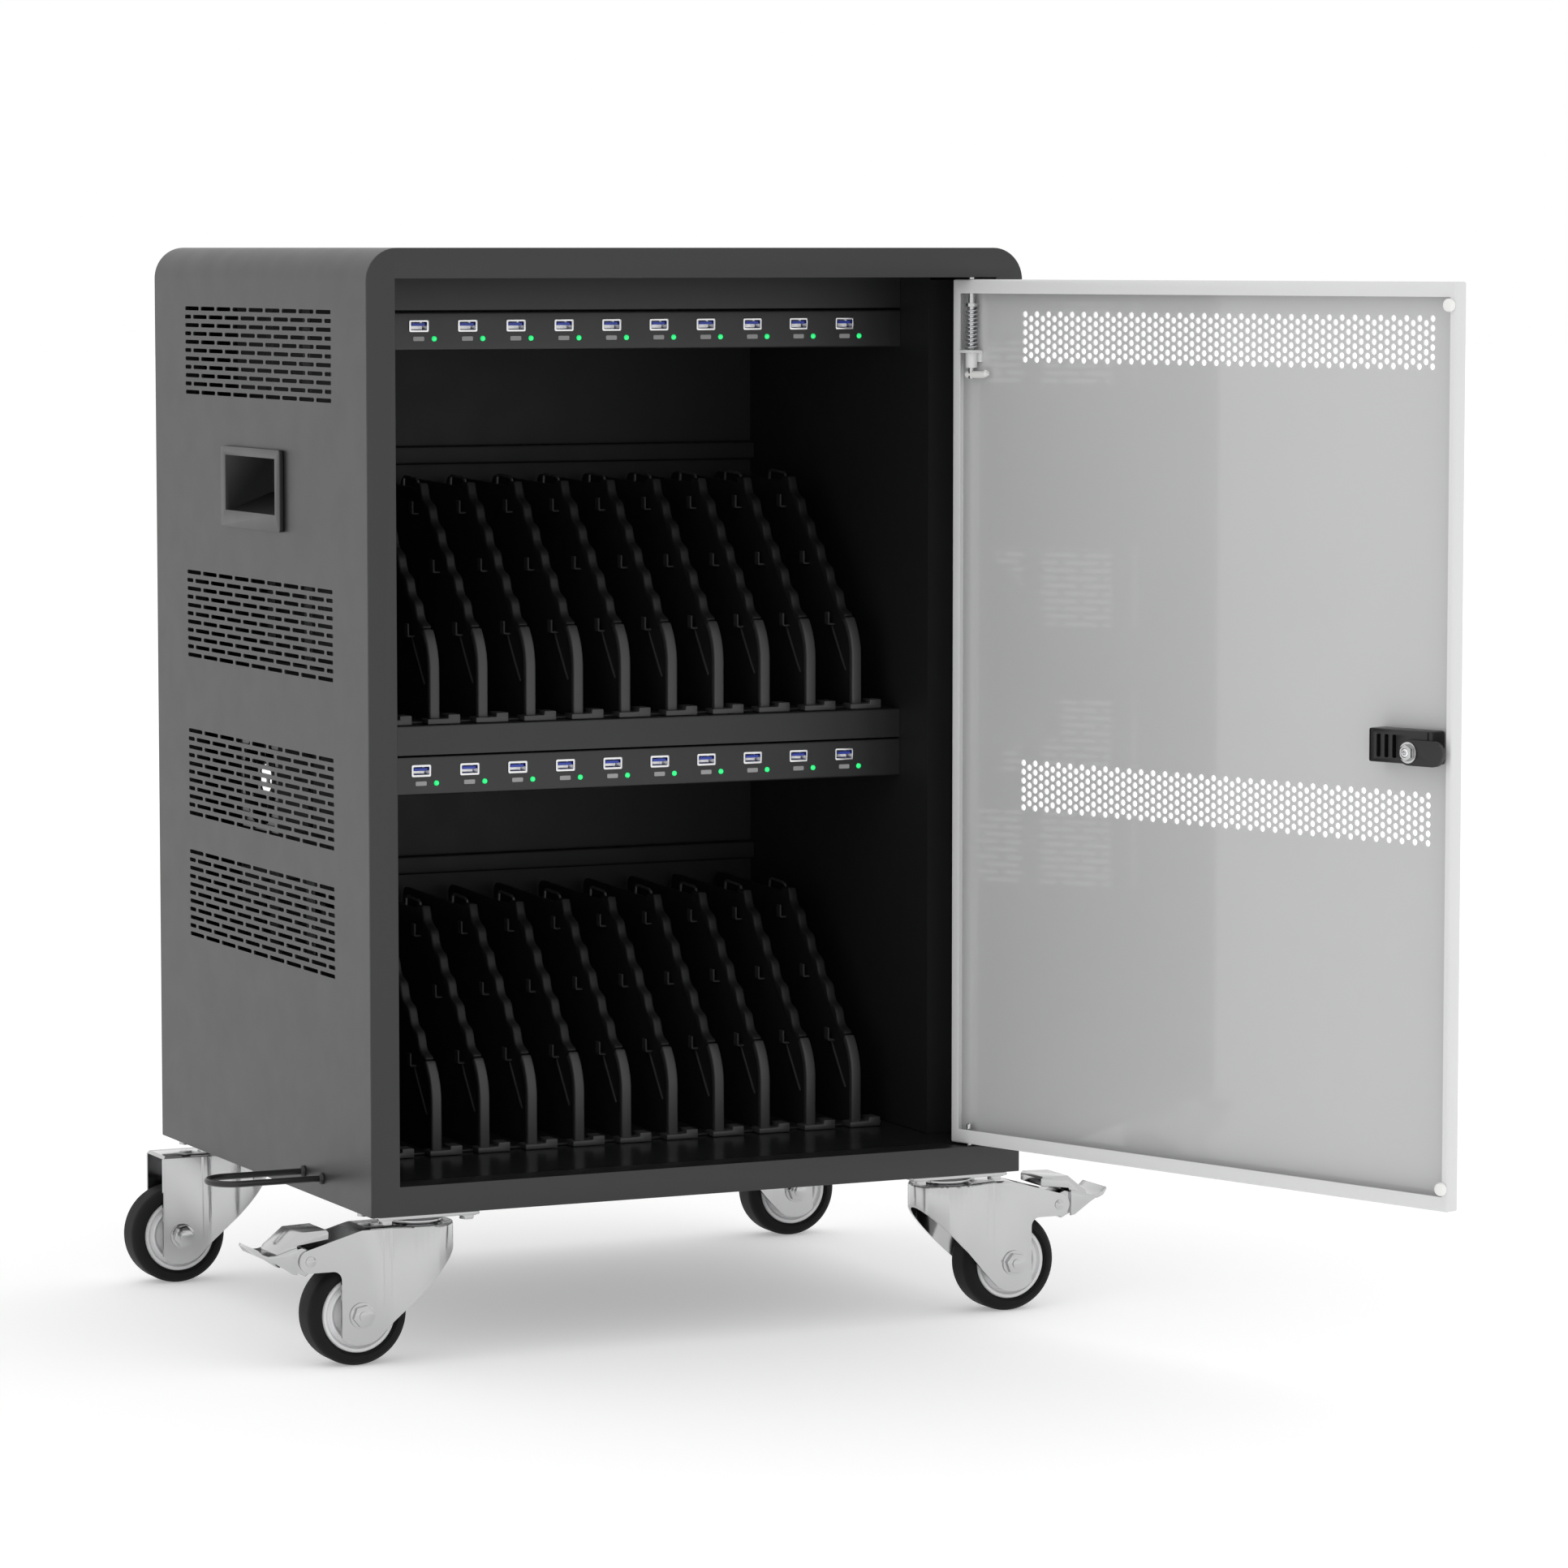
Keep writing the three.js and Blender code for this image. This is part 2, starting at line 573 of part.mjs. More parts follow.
/** One bay divider standing at x on the deck at z: a web with a scalloped slope and a front bead. */
function divider(x, z) {
  const edge = dividerEdge(0);
  const [startY, startZ] = edge.at(-1);
  const run = (DIVIDER_HEIGHT - startZ) * Math.tan(DIVIDER_LEAN);
  const rise = DIVIDER_HEIGHT - startZ;
  const steps = SCALLOPS * SCALLOP_STEPS;
  const slope = [];
  for (let i = 1; i < steps; i += 1) {
    const t = i / steps;
    const dip = SCALLOP_DEPTH * Math.sin(Math.PI * SCALLOPS * t) ** 2;
    slope.push([
      startY + run * t + dip * Math.cos(DIVIDER_LEAN),
      startZ + rise * t - dip * Math.sin(DIVIDER_LEAN),
    ]);
  }
  const crest = [[startY + run, DIVIDER_HEIGHT], [DIVIDER_BACK, DIVIDER_HEIGHT], [DIVIDER_BACK, 0]];
  const web = prism(polygon([...edge, ...slope, ...crest]), 'x', x - DIVIDER_THICK / 2, x + DIVIDER_THICK / 2);
  const beadOutline = polygon([...edge, ...dividerEdge(RIM_DEPTH).reverse()]);
  const bead = prism(beadOutline, 'x', x - DIVIDER_RIM / 2, x + DIVIDER_RIM / 2);
  const front = DIVIDER_FRONT - CLEAR;
  const foot = block(x - DIVIDER_RIM, x + FOOT_LENGTH, front, front + FOOT_DEPTH, 0, RACK_BASE);
  return join(web, bead, foot).translate([0, 0, z]);
}

/** A row of dividers on the thin tray that carries them. */
function rack(deck) {
  const z = deck + CLEAR;
  const last = FIRST_DIVIDER_X + (DIVIDER_COUNT - 1) * DIVIDER_PITCH;
  const front = DIVIDER_FRONT + FOOT_DEPTH / 2;
  let whole = solid(block(FIRST_DIVIDER_X - DIVIDER_RIM, last + FOOT_LENGTH, front, DIVIDER_BACK, z, z + RACK_BASE));
  for (let i = 0; i < DIVIDER_COUNT; i += 1) {
    whole = whole.add(divider(FIRST_DIVIDER_X + i * DIVIDER_PITCH, z));
  }
  return whole;
}

/** The sheet that closes off the rear compartment, with a cable window behind each strip. */
function partition() {
  const reach = PORT_PITCH;
  const tops = [UPPER_STRIP_TOP, SHELF_TOP - APRON_HEIGHT - STRIP_GAP];
  const windows = tops.map((top) => rectangle(-reach, reach, top - STRIP_HEIGHT, top - STRIP_HEIGHT / 3));
  const outline = rectangle(-SPAN_X, SPAN_X, FLOOR_TOP + CLEAR, LINER_TOP);
  return sheet(outline, windows, 'y', PARTITION_Y, PARTITION_Y + SHEET);
}

/** The power unit on the partition's rear, with cooling fins. */
function powerUnit() {
  const front = PARTITION_Y + SHEET + CLEAR;
  const back = front + POWER_DEPTH;
  const pitch = POWER_WIDTH / POWER_FINS;
  const body = block(-POWER_WIDTH / 2, POWER_WIDTH / 2, front, back, POWER_BOTTOM, POWER_BOTTOM + POWER_HEIGHT);
  const grooves = Array.from({ length: POWER_FINS - 1 }, (_, i) => {
    const x = -POWER_WIDTH / 2 + (i + 1) * pitch;
    const half = pitch / 4;
    return block(x - half, x + half, back - FIN_DEPTH, back + 1, POWER_BOTTOM - 1, POWER_BOTTOM + POWER_HEIGHT + 1);
  });
  return cut(body, ...grooves);
}

/** The mains inlet in the back panel: a flange outside and a socket with three pins. */
function inlet() {
  const outside = HALF_D + CLEAR;
  const u = INLET_WIDTH / 2;
  const v = INLET_HEIGHT / 2;
  const w = INLET_WALL;
  const fu = INLET_FLANGE_WIDTH / 2;
  const fv = INLET_FLANGE_HEIGHT / 2;
  const back = outside - INLET_DEPTH - w;
  const flange = block(INLET_X - fu, INLET_X + fu, outside, outside + INLET_FLANGE, INLET_Z - fv, INLET_Z + fv);
  const body = block(INLET_X - u - w, INLET_X + u + w, back, outside + w, INLET_Z - v - w, INLET_Z + v + w);
  const face = outside + INLET_FLANGE;
  const socket = block(INLET_X - u, INLET_X + u, outside - INLET_DEPTH, face + 1, INLET_Z - v, INLET_Z + v);
  const pin = (x, z) => solid(block(INLET_X + x - 2, INLET_X + x + 2, back, outside, INLET_Z + z - 1, INLET_Z + z + 1));
  return cut(join(flange, body), socket).add(pin(-7, -2)).add(pin(7, -2)).add(pin(0, 3));
}

/** The fan's square frame on the left side panel, with struts that hold the motor. */
function fanFrame() {
  const outer = -HALF_W + SHEET + CLEAR;
  const inner = outer + FAN_DEPTH;
  const half = FAN_SIZE / 2;
  const square = rectangle(FAN_Y - half, FAN_Y + half, FAN_Z - half, FAN_Z + half);
  const frame = sheet(square, [regular(FAN_Y, FAN_Z, FAN_BORE, ROUND)], 'x', outer, inner);
  const motor = bar('x', FAN_HUB, inner - STRUT_THICK, inner, 0, FAN_Y, FAN_Z);
  const s = STRUT_WIDTH / 2;
  const across = block(inner - STRUT_THICK, inner, FAN_Y - half + 1, FAN_Y + half - 1, FAN_Z - s, FAN_Z + s);
  const upright = block(inner - STRUT_THICK, inner, FAN_Y - s, FAN_Y + s, FAN_Z - half + 1, FAN_Z + half - 1);
  return join(frame, motor, across, upright);
}

/** The fan's hub and its pitched blades. */
function fanRotor() {
  const inner = -HALF_W + SHEET + CLEAR + FAN_DEPTH - STRUT_THICK - CLEAR;
  const middle = inner - FAN_HUB_DEPTH / 2;
  const tip = FAN_BORE - FAN_TIP_GAP;
  const root = FAN_HUB - 2;
  let whole = solid(bar('x', FAN_HUB, inner - FAN_HUB_DEPTH, inner, 0, FAN_Y, FAN_Z));
  for (let i = 0; i < FAN_BLADES; i += 1) {
    const blade = new THREE.BoxGeometry(STRUT_THICK / 2, FAN_HUB, tip - root);
    blade.rotateZ(Math.PI / 2 - BLADE_PITCH).translate(0, 0, (tip + root) / 2);
    blade.rotateX((2 * Math.PI * i) / FAN_BLADES).translate(middle, FAN_Y, FAN_Z);
    whole = whole.add(solid(blade));
  }
  return whole;
}

/** The wire loop on the left side, for tying the cart or hanging a lead. */
function sideLoop() {
  const wall = -HALF_W - CLEAR;
  const radius = LOOP_WIDTH / 2;
  const bend = wall - LOOP_OUT + radius;
  const path = new THREE.CurvePath();
  const point = (x, y) => new THREE.Vector3(x, LOOP_Y + y, LOOP_Z);
  const turn = new THREE.CatmullRomCurve3(
    Array.from({ length: 9 }, (_, i) => {
      const angle = Math.PI / 2 + (Math.PI * i) / 8;
      return point(bend + radius * Math.cos(angle), radius * Math.sin(angle));
    }),
  );
  path.add(new THREE.LineCurve3(point(wall - LOOP_FOOT / 2, radius), point(bend, radius)));
  path.add(turn);
  path.add(new THREE.LineCurve3(point(bend, -radius), point(wall - LOOP_FOOT / 2, -radius)));
  const section = regular(0, 0, LOOP_WIRE, 6);
  const wire = new THREE.ExtrudeGeometry(section, { extrudePath: path, steps: 18, bevelEnabled: false });
  const half = radius + 3 * LOOP_WIRE;
  const foot = block(wall - LOOP_FOOT, wall, LOOP_Y - half, LOOP_Y + half, LOOP_Z - 2.5 * LOOP_WIRE, LOOP_Z + 2.5 * LOOP_WIRE);
  return join(wire, foot);
}

/** A recessed handle: a bezel outside the panel and a pocket whose floor climbs inwards. */
function grip(side) {
  const face = -HALF_W - CLEAR - BEZEL_THICK;
  const end = -HALF_W + GRIP_DEPTH;
  const y0 = GRIP_Y - GRIP_WIDTH / 2;
  const y1 = GRIP_Y + GRIP_WIDTH / 2;
  const top = GRIP_BOTTOM + GRIP_HEIGHT;
  const low = GRIP_BOTTOM - BEZEL_BOTTOM;
  const bezel = block(face, -HALF_W - CLEAR, y0 - BEZEL_SIDE, y1 + BEZEL_SIDE, low, top + BEZEL_TOP);
  const w = GRIP_WALL;
  const cup = block(face + w, end + w, y0 - w, y1 + w, GRIP_BOTTOM - w, top + w);
  const pocketOutline = polygon([
    [face - 1, GRIP_BOTTOM],
    [-HALF_W, GRIP_BOTTOM],
    [end, GRIP_BOTTOM + GRIP_RISE],
    [end, top],
    [face - 1, top],
  ]);
  const whole = cut(join(bezel, cup), prism(pocketOutline, 'y', y0, y1));
  return side < 0 ? whole : whole.mirror([1, 0, 0]);
}

/** Hexagonal holes of one perforated band, staggered, in the closed door's (x, z). */
function bandHoles(middle) {
  const pitch = BAND_WIDTH / BAND_COLUMNS;
  const rise = BAND_HEIGHT / BAND_ROWS;
  const holes = [];
  for (let column = 0; column < 2 * BAND_COLUMNS - 1; column += 1) {
    const rows = BAND_ROWS - (column % 2);
    const x = -BAND_START - pitch / 2 - (column * pitch) / 2;
    for (let row = 0; row < rows; row += 1) {
      holes.push(regular(x, middle + (row - (rows - 1) / 2) * rise, BAND_HOLE, 6));
    }
  }
  return holes;
}

/** The door: one sheet pan with a perforated skin, turned edges and an inner lip. */
function doorLeaf() {
  const x0 = DOOR_FREE;
  const x1 = PIVOT_IN;
  const lockHole = regular(LOCK_X, LOCK_Z, RIM_RADIUS - RIM_PROUD + CLEAR, ROUND);
  const outline = () => rectangle(x0, x1, DOOR_BOTTOM, DOOR_TOP);
  const holes = [...BAND_MIDDLES.flatMap(bandHoles), lockHole];
  const skin = sheet(outline(), holes, 'y', DOOR_SKIN, DOOR_SKIN + SHEET);
  const well = rectangle(x0 + SHEET, x1 - SHEET, DOOR_BOTTOM + SHEET, DOOR_TOP - SHEET);
  const edges = sheet(outline(), [well], 'y', DOOR_SKIN + SHEET / 2, DOOR_INNER);
  const window = rectangle(x0 + FREE_LIP, x1 - HINGE_LIP, DOOR_BOTTOM + DOOR_LIP, DOOR_TOP - DOOR_LIP);
  const lips = sheet(outline(), [window], 'y', DOOR_INNER - SHEET, DOOR_INNER);
  const bore = BOLT_RADIUS + BOLT_RUN;
  const above = bar('z', bore, DOOR_TOP - 2 * SHEET, DOOR_TOP + SHEET, 0, 0, 0);
  const below = bar('z', bore, DOOR_BOTTOM - SHEET, DOOR_BOTTOM + 2 * SHEET, 0, 0, 0);
  return cut(join(skin, edges, lips), above, below);
}

/** The spring bolt: a pin with a collar for the spring and a bent pull below. */
function hingeBolt() {
  const shaft = bar('z', BOLT_RADIUS, BOLT_PULL_Z, OPEN_TOP + BOLT_REACH, 0, 0, 0);
  const collar = bar('z', COLLAR_RADIUS, COLLAR_Z, COLLAR_Z + COLLAR_HEIGHT, 0, 0, 0);
  const pull = bar('x', BOLT_RADIUS, -BOLT_PULL, BOLT_RADIUS / 2, 0, 0, BOLT_PULL_Z + BOLT_RADIUS);
  return join(shaft, collar, pull);
}

/** The bracket on the door's skin whose ear carries the spring. */
function hingeBracket() {
  const skin = DOOR_SKIN + SHEET + CLEAR;
  const plate = block(-EAR_HALF, EAR_HALF, skin, skin + SHEET, EAR_Z - EAR_HALF, EAR_Z + EAR_THICK);
  const ear = block(-EAR_HALF, EAR_HALF, skin, EAR_HALF - CLEAR, EAR_Z, EAR_Z + EAR_THICK);
  return cut(join(plate, ear), bar('z', BOLT_RADIUS + BOLT_RUN, EAR_Z - 1, EAR_Z + EAR_THICK + 1, 0, 0, 0));
}

/** The coil spring between the bracket's ear and the bolt's collar: one unbroken wire. */
function hingeSpring() {
  const low = EAR_Z + EAR_THICK + CLEAR + SPRING_WIRE;
  const high = COLLAR_Z - CLEAR - SPRING_WIRE;
  const rings = SPRING_COILS * COIL_STEPS;
  const positions = [];
  const index = [];
  for (let i = 0; i <= rings; i += 1) {
    const turn = (2 * Math.PI * i) / COIL_STEPS;
    const z = low + ((high - low) * i) / rings;
    for (let j = 0; j < WIRE_SIDES; j += 1) {
      const round = (2 * Math.PI * j) / WIRE_SIDES;
      const r = SPRING_RADIUS + SPRING_WIRE * Math.cos(round);
      positions.push(r * Math.cos(turn), r * Math.sin(turn), z + SPRING_WIRE * Math.sin(round));
    }
  }
  for (let i = 0; i < rings; i += 1) {
    for (let j = 0; j < WIRE_SIDES; j += 1) {
      const a = i * WIRE_SIDES + j;
      const b = i * WIRE_SIDES + ((j + 1) % WIRE_SIDES);
      index.push(a, a + WIRE_SIDES, b, b, a + WIRE_SIDES, b + WIRE_SIDES);
    }
  }
  for (let j = 1; j < WIRE_SIDES - 1; j += 1) {
    const end = rings * WIRE_SIDES;
    index.push(0, j, j + 1, end, end + j + 1, end + j);
  }
  const pitch = (high - low) / SPRING_COILS;
  console.log(`hinge spring: least gap between coils ${(pitch - 2 * SPRING_WIRE).toFixed(2)} mm`);
  const geometry = new THREE.BufferGeometry();
  geometry.setAttribute('position', new THREE.Float32BufferAttribute(positions, 3));
  geometry.setIndex(index);
  geometry.computeVertexNormals();
  return geometry;
}

/** The fixed pin under the door, with a flange that rests on the door's lower edge. */
function lowerPin() {
  const seat = DOOR_BOTTOM + SHEET + CLEAR;
  const shaft = bar('z', BOLT_RADIUS, FLOOR_TOP - PLATE - BOLT_REACH, LOWER_PIN_TOP, 0, 0, 0);
  const flange = (BOLT_RADIUS + COLLAR_RADIUS) / 2;
  return join(shaft, bar('z', flange, seat, seat + LOWER_PIN_FLANGE, 0, 0, 0));
}

/** The lock's housing inside the door, with slots in its face, its neck and the rim outside. */
function lockHousing() {
  const skin = DOOR_SKIN + SHEET + CLEAR;
  const end = LOCK_END + LOCK_LENGTH;
  const low = LOCK_Z - LOCK_HEIGHT * 0.36;
  const body = block(LOCK_END, end, skin, LOCK_FACE, low, low + LOCK_HEIGHT);
  const rim = bar('y', RIM_RADIUS, DOOR_SKIN - CLEAR - RIM_PROUD, DOOR_SKIN - CLEAR, LOCK_X, 0, LOCK_Z);
  const neck = bar('y', RIM_RADIUS - RIM_PROUD, DOOR_SKIN - CLEAR - RIM_PROUD / 2, skin + 1, LOCK_X, 0, LOCK_Z);
  const pitch = LOCK_LENGTH / 9;
  const slots = Array.from({ length: LOCK_SLOTS }, (_, i) => {
    const x = end - (i + 1.4) * pitch;
    return block(x - pitch / 5, x + pitch / 5, LOCK_FACE - pitch, LOCK_FACE + 1, low + pitch / 2, low + LOCK_HEIGHT - pitch / 2);
  });
  const bore = bar('y', PLUG_RADIUS + CLEAR, DOOR_SKIN - DOOR_THICK, LOCK_FACE + 1, LOCK_X, 0, LOCK_Z);
  return cut(join(body, rim, neck), ...slots, bore);
}

/** The key plug through the housing, with a key slot outside and a stud for the cam inside. */
function lockPlug() {
  const outside = DOOR_SKIN - CLEAR - RIM_PROUD - CLEAR;
  const stud = LOCK_FACE + CAM_THICK + NUT_HEIGHT + 3 * CLEAR;
  const plug = bar('y', PLUG_RADIUS, outside, LOCK_FACE, LOCK_X, 0, LOCK_Z);
  const tail = bar('y', NUT_RADIUS / 2, LOCK_FACE - 1, stud, LOCK_X, 0, LOCK_Z);
  const key = block(LOCK_X - 1, LOCK_X + 1, outside - 1, outside + 5, LOCK_Z - 4, LOCK_Z + 4);
  return cut(join(plug, tail), key);
}

/** The cam that turns behind the frame. */
function lockCam() {
  const low = LOCK_FACE + CLEAR;
  const radius = CAM_WIDTH / 2;
  const outline = new THREE.Shape();
  outline.absarc(LOCK_X, LOCK_Z, radius, -Math.PI / 2, Math.PI / 2);
  outline.absarc(LOCK_X - CAM_REACH, LOCK_Z, radius, Math.PI / 2, (3 * Math.PI) / 2);
  outline.closePath();
  return sheet(outline, [regular(LOCK_X, LOCK_Z, NUT_RADIUS / 2 + CLEAR, ROUND)], 'y', low, low + CAM_THICK);
}

/** The nut that holds the cam on the plug. */
function lockNut() {
  const low = LOCK_FACE + CAM_THICK + 2 * CLEAR;
  const outline = regular(LOCK_X, LOCK_Z, NUT_RADIUS, 6);
  return sheet(outline, [regular(LOCK_X, LOCK_Z, NUT_RADIUS / 2 + CLEAR, ROUND)], 'y', low, low + NUT_HEIGHT);
}

/** A round bumper on the door's lip. */
function bumper(z) {
  const seat = DOOR_INNER + CLEAR;
  const x = DOOR_FREE + BUMPER_RADIUS + CLEAR;
  const base = bar('y', BUMPER_RADIUS, seat, seat + BUMPER_HEIGHT / 2, x, 0, z);
  const dome = new THREE.CylinderGeometry(BUMPER_RADIUS / 2, BUMPER_RADIUS, BUMPER_HEIGHT / 2, ROUND);
  return join(base, dome.translate(x, seat + BUMPER_HEIGHT * 0.75 - WELD, z));
}

/** A caster's mounting plate with its bearing race, in the caster's own frame. */
function casterPlate() {
  const x = MOUNT_PLATE_X / 2;
  const y = MOUNT_PLATE_Y / 2;
  const inset = MOUNT_PLATE_Y / 8;
  const low = -CLEAR - MOUNT_PLATE_THICK;
  const holes = [-1, 1].flatMap((i) => [-1, 1].map((j) => regular(i * (x - inset), j * (y - inset), inset / 2, 6)));
  const plate = sheet(rectangle(-x, x, -y, y), holes, 'z', low, -CLEAR);
  return join(plate, bar('z', RACE_RADIUS, low - RACE_HEIGHT, low + 1, 0, 0, 0));
}

/** A fork seen from above: straight legs that flare to a round nose about the swivel axis. */
function forkPlan(inset) {
  const half = WHEEL_WIDTH / 2 + FORK_GAP + FORK_SHEET - inset;
  const radius = NOSE_RADIUS - inset;
  const reach = Math.hypot(FORK_STRAIGHT, half);
  const touch = Math.atan2(half, FORK_STRAIGHT) - Math.acos(radius / reach);
  const tail = PEDAL_HINGE - 2 * PEDAL_EAR;
  const plan = new THREE.Shape();
  plan.moveTo(tail, -half).lineTo(FORK_STRAIGHT, -half);
  plan.absarc(0, 0, radius, -touch, touch);
  plan.lineTo(FORK_STRAIGHT, half).lineTo(tail, half);
  return plan.closePath();
}

/** A fork's leg seen from the side; a braked one has an arm that carries the pedal. */
function forkSide(braked, top) {
  const axleZ = WHEEL_RADIUS - CASTER_HEIGHT;
  const corner = Math.acos((FORK_HEEL + TRAIL) / LEG_END);
  const side = new THREE.Shape();
  side.moveTo(NOSE_RADIUS, top);
  if (braked) {
    const ear = PEDAL_EAR;
    side.lineTo(-TRAIL, top);
    side.absarc(PEDAL_HINGE, PEDAL_HINGE_DROP, ear, Math.PI * 0.6, Math.PI * 1.5);
    side.lineTo(FORK_HEEL - ear, PEDAL_HINGE_DROP - ear);
    side.lineTo(FORK_HEEL, PEDAL_HINGE_DROP - 2 * ear);
  } else {
    side.lineTo(FORK_HEEL, top);
  }
  const run = NOSE_RADIUS + TRAIL;
  const rise = top - NOSE_SKIRT - axleZ;
  const touch = Math.atan2(rise, run) - Math.acos(LEG_END / Math.hypot(run, rise));
  side.absarc(-TRAIL, axleZ, LEG_END, 2 * Math.PI - corner, 2 * Math.PI + touch);
  side.lineTo(NOSE_RADIUS, top - NOSE_SKIRT);
  return side.closePath();
}

/** A caster's fork with its axle bolt; a braked one also has the pin for the pedal. */
function casterFork(braked) {
  const top = -2 * CLEAR - MOUNT_PLATE_THICK - RACE_HEIGHT;
  const axleZ = WHEEL_RADIUS - CASTER_HEIGHT;
  const inner = WHEEL_WIDTH / 2 + FORK_GAP;
  const outer = inner + FORK_SHEET;
  const floor = axleZ - LEG_END - 1;
  const wall = cut(prism(forkPlan(0), 'z', floor, top), prism(forkPlan(FORK_SHEET), 'z', floor - 1, top - FORK_SHEET));
  const room = solid(prism(forkSide(braked, top), 'y', -NOSE_RADIUS - 1, NOSE_RADIUS + 1));
  const axle = bar('y', AXLE_RADIUS, -outer, outer, -TRAIL, 0, axleZ);
  const head = bar('y', 1.8 * AXLE_RADIUS, -outer - AXLE_RADIUS, -inner - 1, -TRAIL, 0, axleZ, 6);
  const nut = bar('y', 1.8 * AXLE_RADIUS, inner + 1, outer + AXLE_RADIUS, -TRAIL, 0, axleZ, 6);
  const whole = join(wall.intersect(room), axle, head, nut);
  const pin = bar('y', FORK_SHEET, -outer, outer, PEDAL_HINGE, 0, PEDAL_HINGE_DROP);
  return braked ? whole.add(solid(pin)) : whole;
}

/** A tyre with a rounded tread, about the axle. */
function tyre() {
  const bore = WHEEL_RADIUS - TYRE_THICK;
  const half = WHEEL_WIDTH / 2;
  const shoulder = WHEEL_RADIUS - TREAD_ROUND;
  const tread = half - TREAD_ROUND;
  const quarter = (1 - Math.SQRT1_2) * TREAD_ROUND;
  return turned([
    [bore, -half],
    [shoulder, -half],
    [WHEEL_RADIUS - quarter, -half + quarter],
    [WHEEL_RADIUS, -tread],
    [WHEEL_RADIUS, tread],
    [WHEEL_RADIUS - quarter, half - quarter],
    [shoulder, half],
    [bore, half],
  ], FINE_ROUND);
}

/** A wheel's hub: a rim, a thin web and a boss with the axle's bore. */
function hub() {
  const rim = WHEEL_RADIUS - TYRE_THICK - 2 * CLEAR;
  const wall = 3 * CLEAR + PLATE;
  const half = WHEEL_WIDTH / 2;
  const web = half / 2;
  const boss = 2.5 * AXLE_RADIUS;
  const bore = AXLE_RADIUS + AXLE_RUN;
  return turned([
    [bore, -half],
    [boss, -half],
    [boss + wall, -web],
    [rim - wall, -web],
    [rim - wall, -half],
    [rim, -half],
    [rim, half],
    [rim - wall, half],
    [rim - wall, web],
    [boss + wall, web],
    [boss, half],
    [bore, half],
  ]);
}

/** A brake pedal: a bent tread with an upturned tip, on a hinge block between the fork's arms. */
function pedal() {
  const x = PEDAL_HINGE;
  const z = PEDAL_HINGE_DROP;
  const t = PEDAL_THICK;
  const tip = x - PEDAL_REACH;
  const near = x - PEDAL_EAR - t / 2;
  const carrier = polygon([
    [x + 2 * t, z + 2.4 * t],
    [x - 2 * t, z + 3.6 * t],
    [near - 2 * t, z + 2.6 * t],
    [near - 2 * t, z - 2 * t],
    [x - t, z - 4 * t],
    [x + 2 * t, z - 2 * t],
  ]);
  const tread = polygon([
    [near, z + 3.6 * t],
    [near, z - 2.6 * t],
    [tip + 4.4 * t, z + 0.6 * t],
    [tip + 1.4 * t, z + 1.4 * t],
    [tip, z + 2.6 * t],
    [tip, z + 3.6 * t],
    [tip + 1.4 * t, z + 2.6 * t],
    [tip + 4.4 * t, z + 2 * t],
  ]);
  const inner = WHEEL_WIDTH / 2 + FORK_GAP - CLEAR;
  const block = prism(carrier, 'y', -inner, inner);
  const foot = prism(tread, 'y', -PEDAL_WIDTH / 2, PEDAL_WIDTH / 2);
  return cut(join(block, foot), bar('y', FORK_SHEET + CLEAR, -PEDAL_WIDTH, PEDAL_WIDTH, x, 0, z));
}

/** One caster with its pieces named for its corner; the trail points outwards. */
function caster(corner, x, y, braked) {
  const group = new THREE.Group();
  group.position.set(x, y, 0);
  group.rotation.z = x < 0 ? 0 : Math.PI;
  add(group, `caster_plate_${corner}`, casterPlate(), MATERIALS.zinc);
  add(group, `caster_fork_${corner}`, casterFork(braked), MATERIALS.zinc);
  const wheel = new THREE.Group();
  wheel.position.set(-TRAIL, 0, WHEEL_RADIUS - CASTER_HEIGHT);
  wheel.rotation.x = Math.PI / 2;
  add(wheel, `tyre_${corner}`, tyre(), MATERIALS.tyre);
  add(wheel, `wheel_hub_${corner}`, hub(), MATERIALS.hub);
  group.add(wheel);
  if (braked) add(group, `brake_pedal_${corner}`, pedal(), MATERIALS.zinc);
  return group;
}

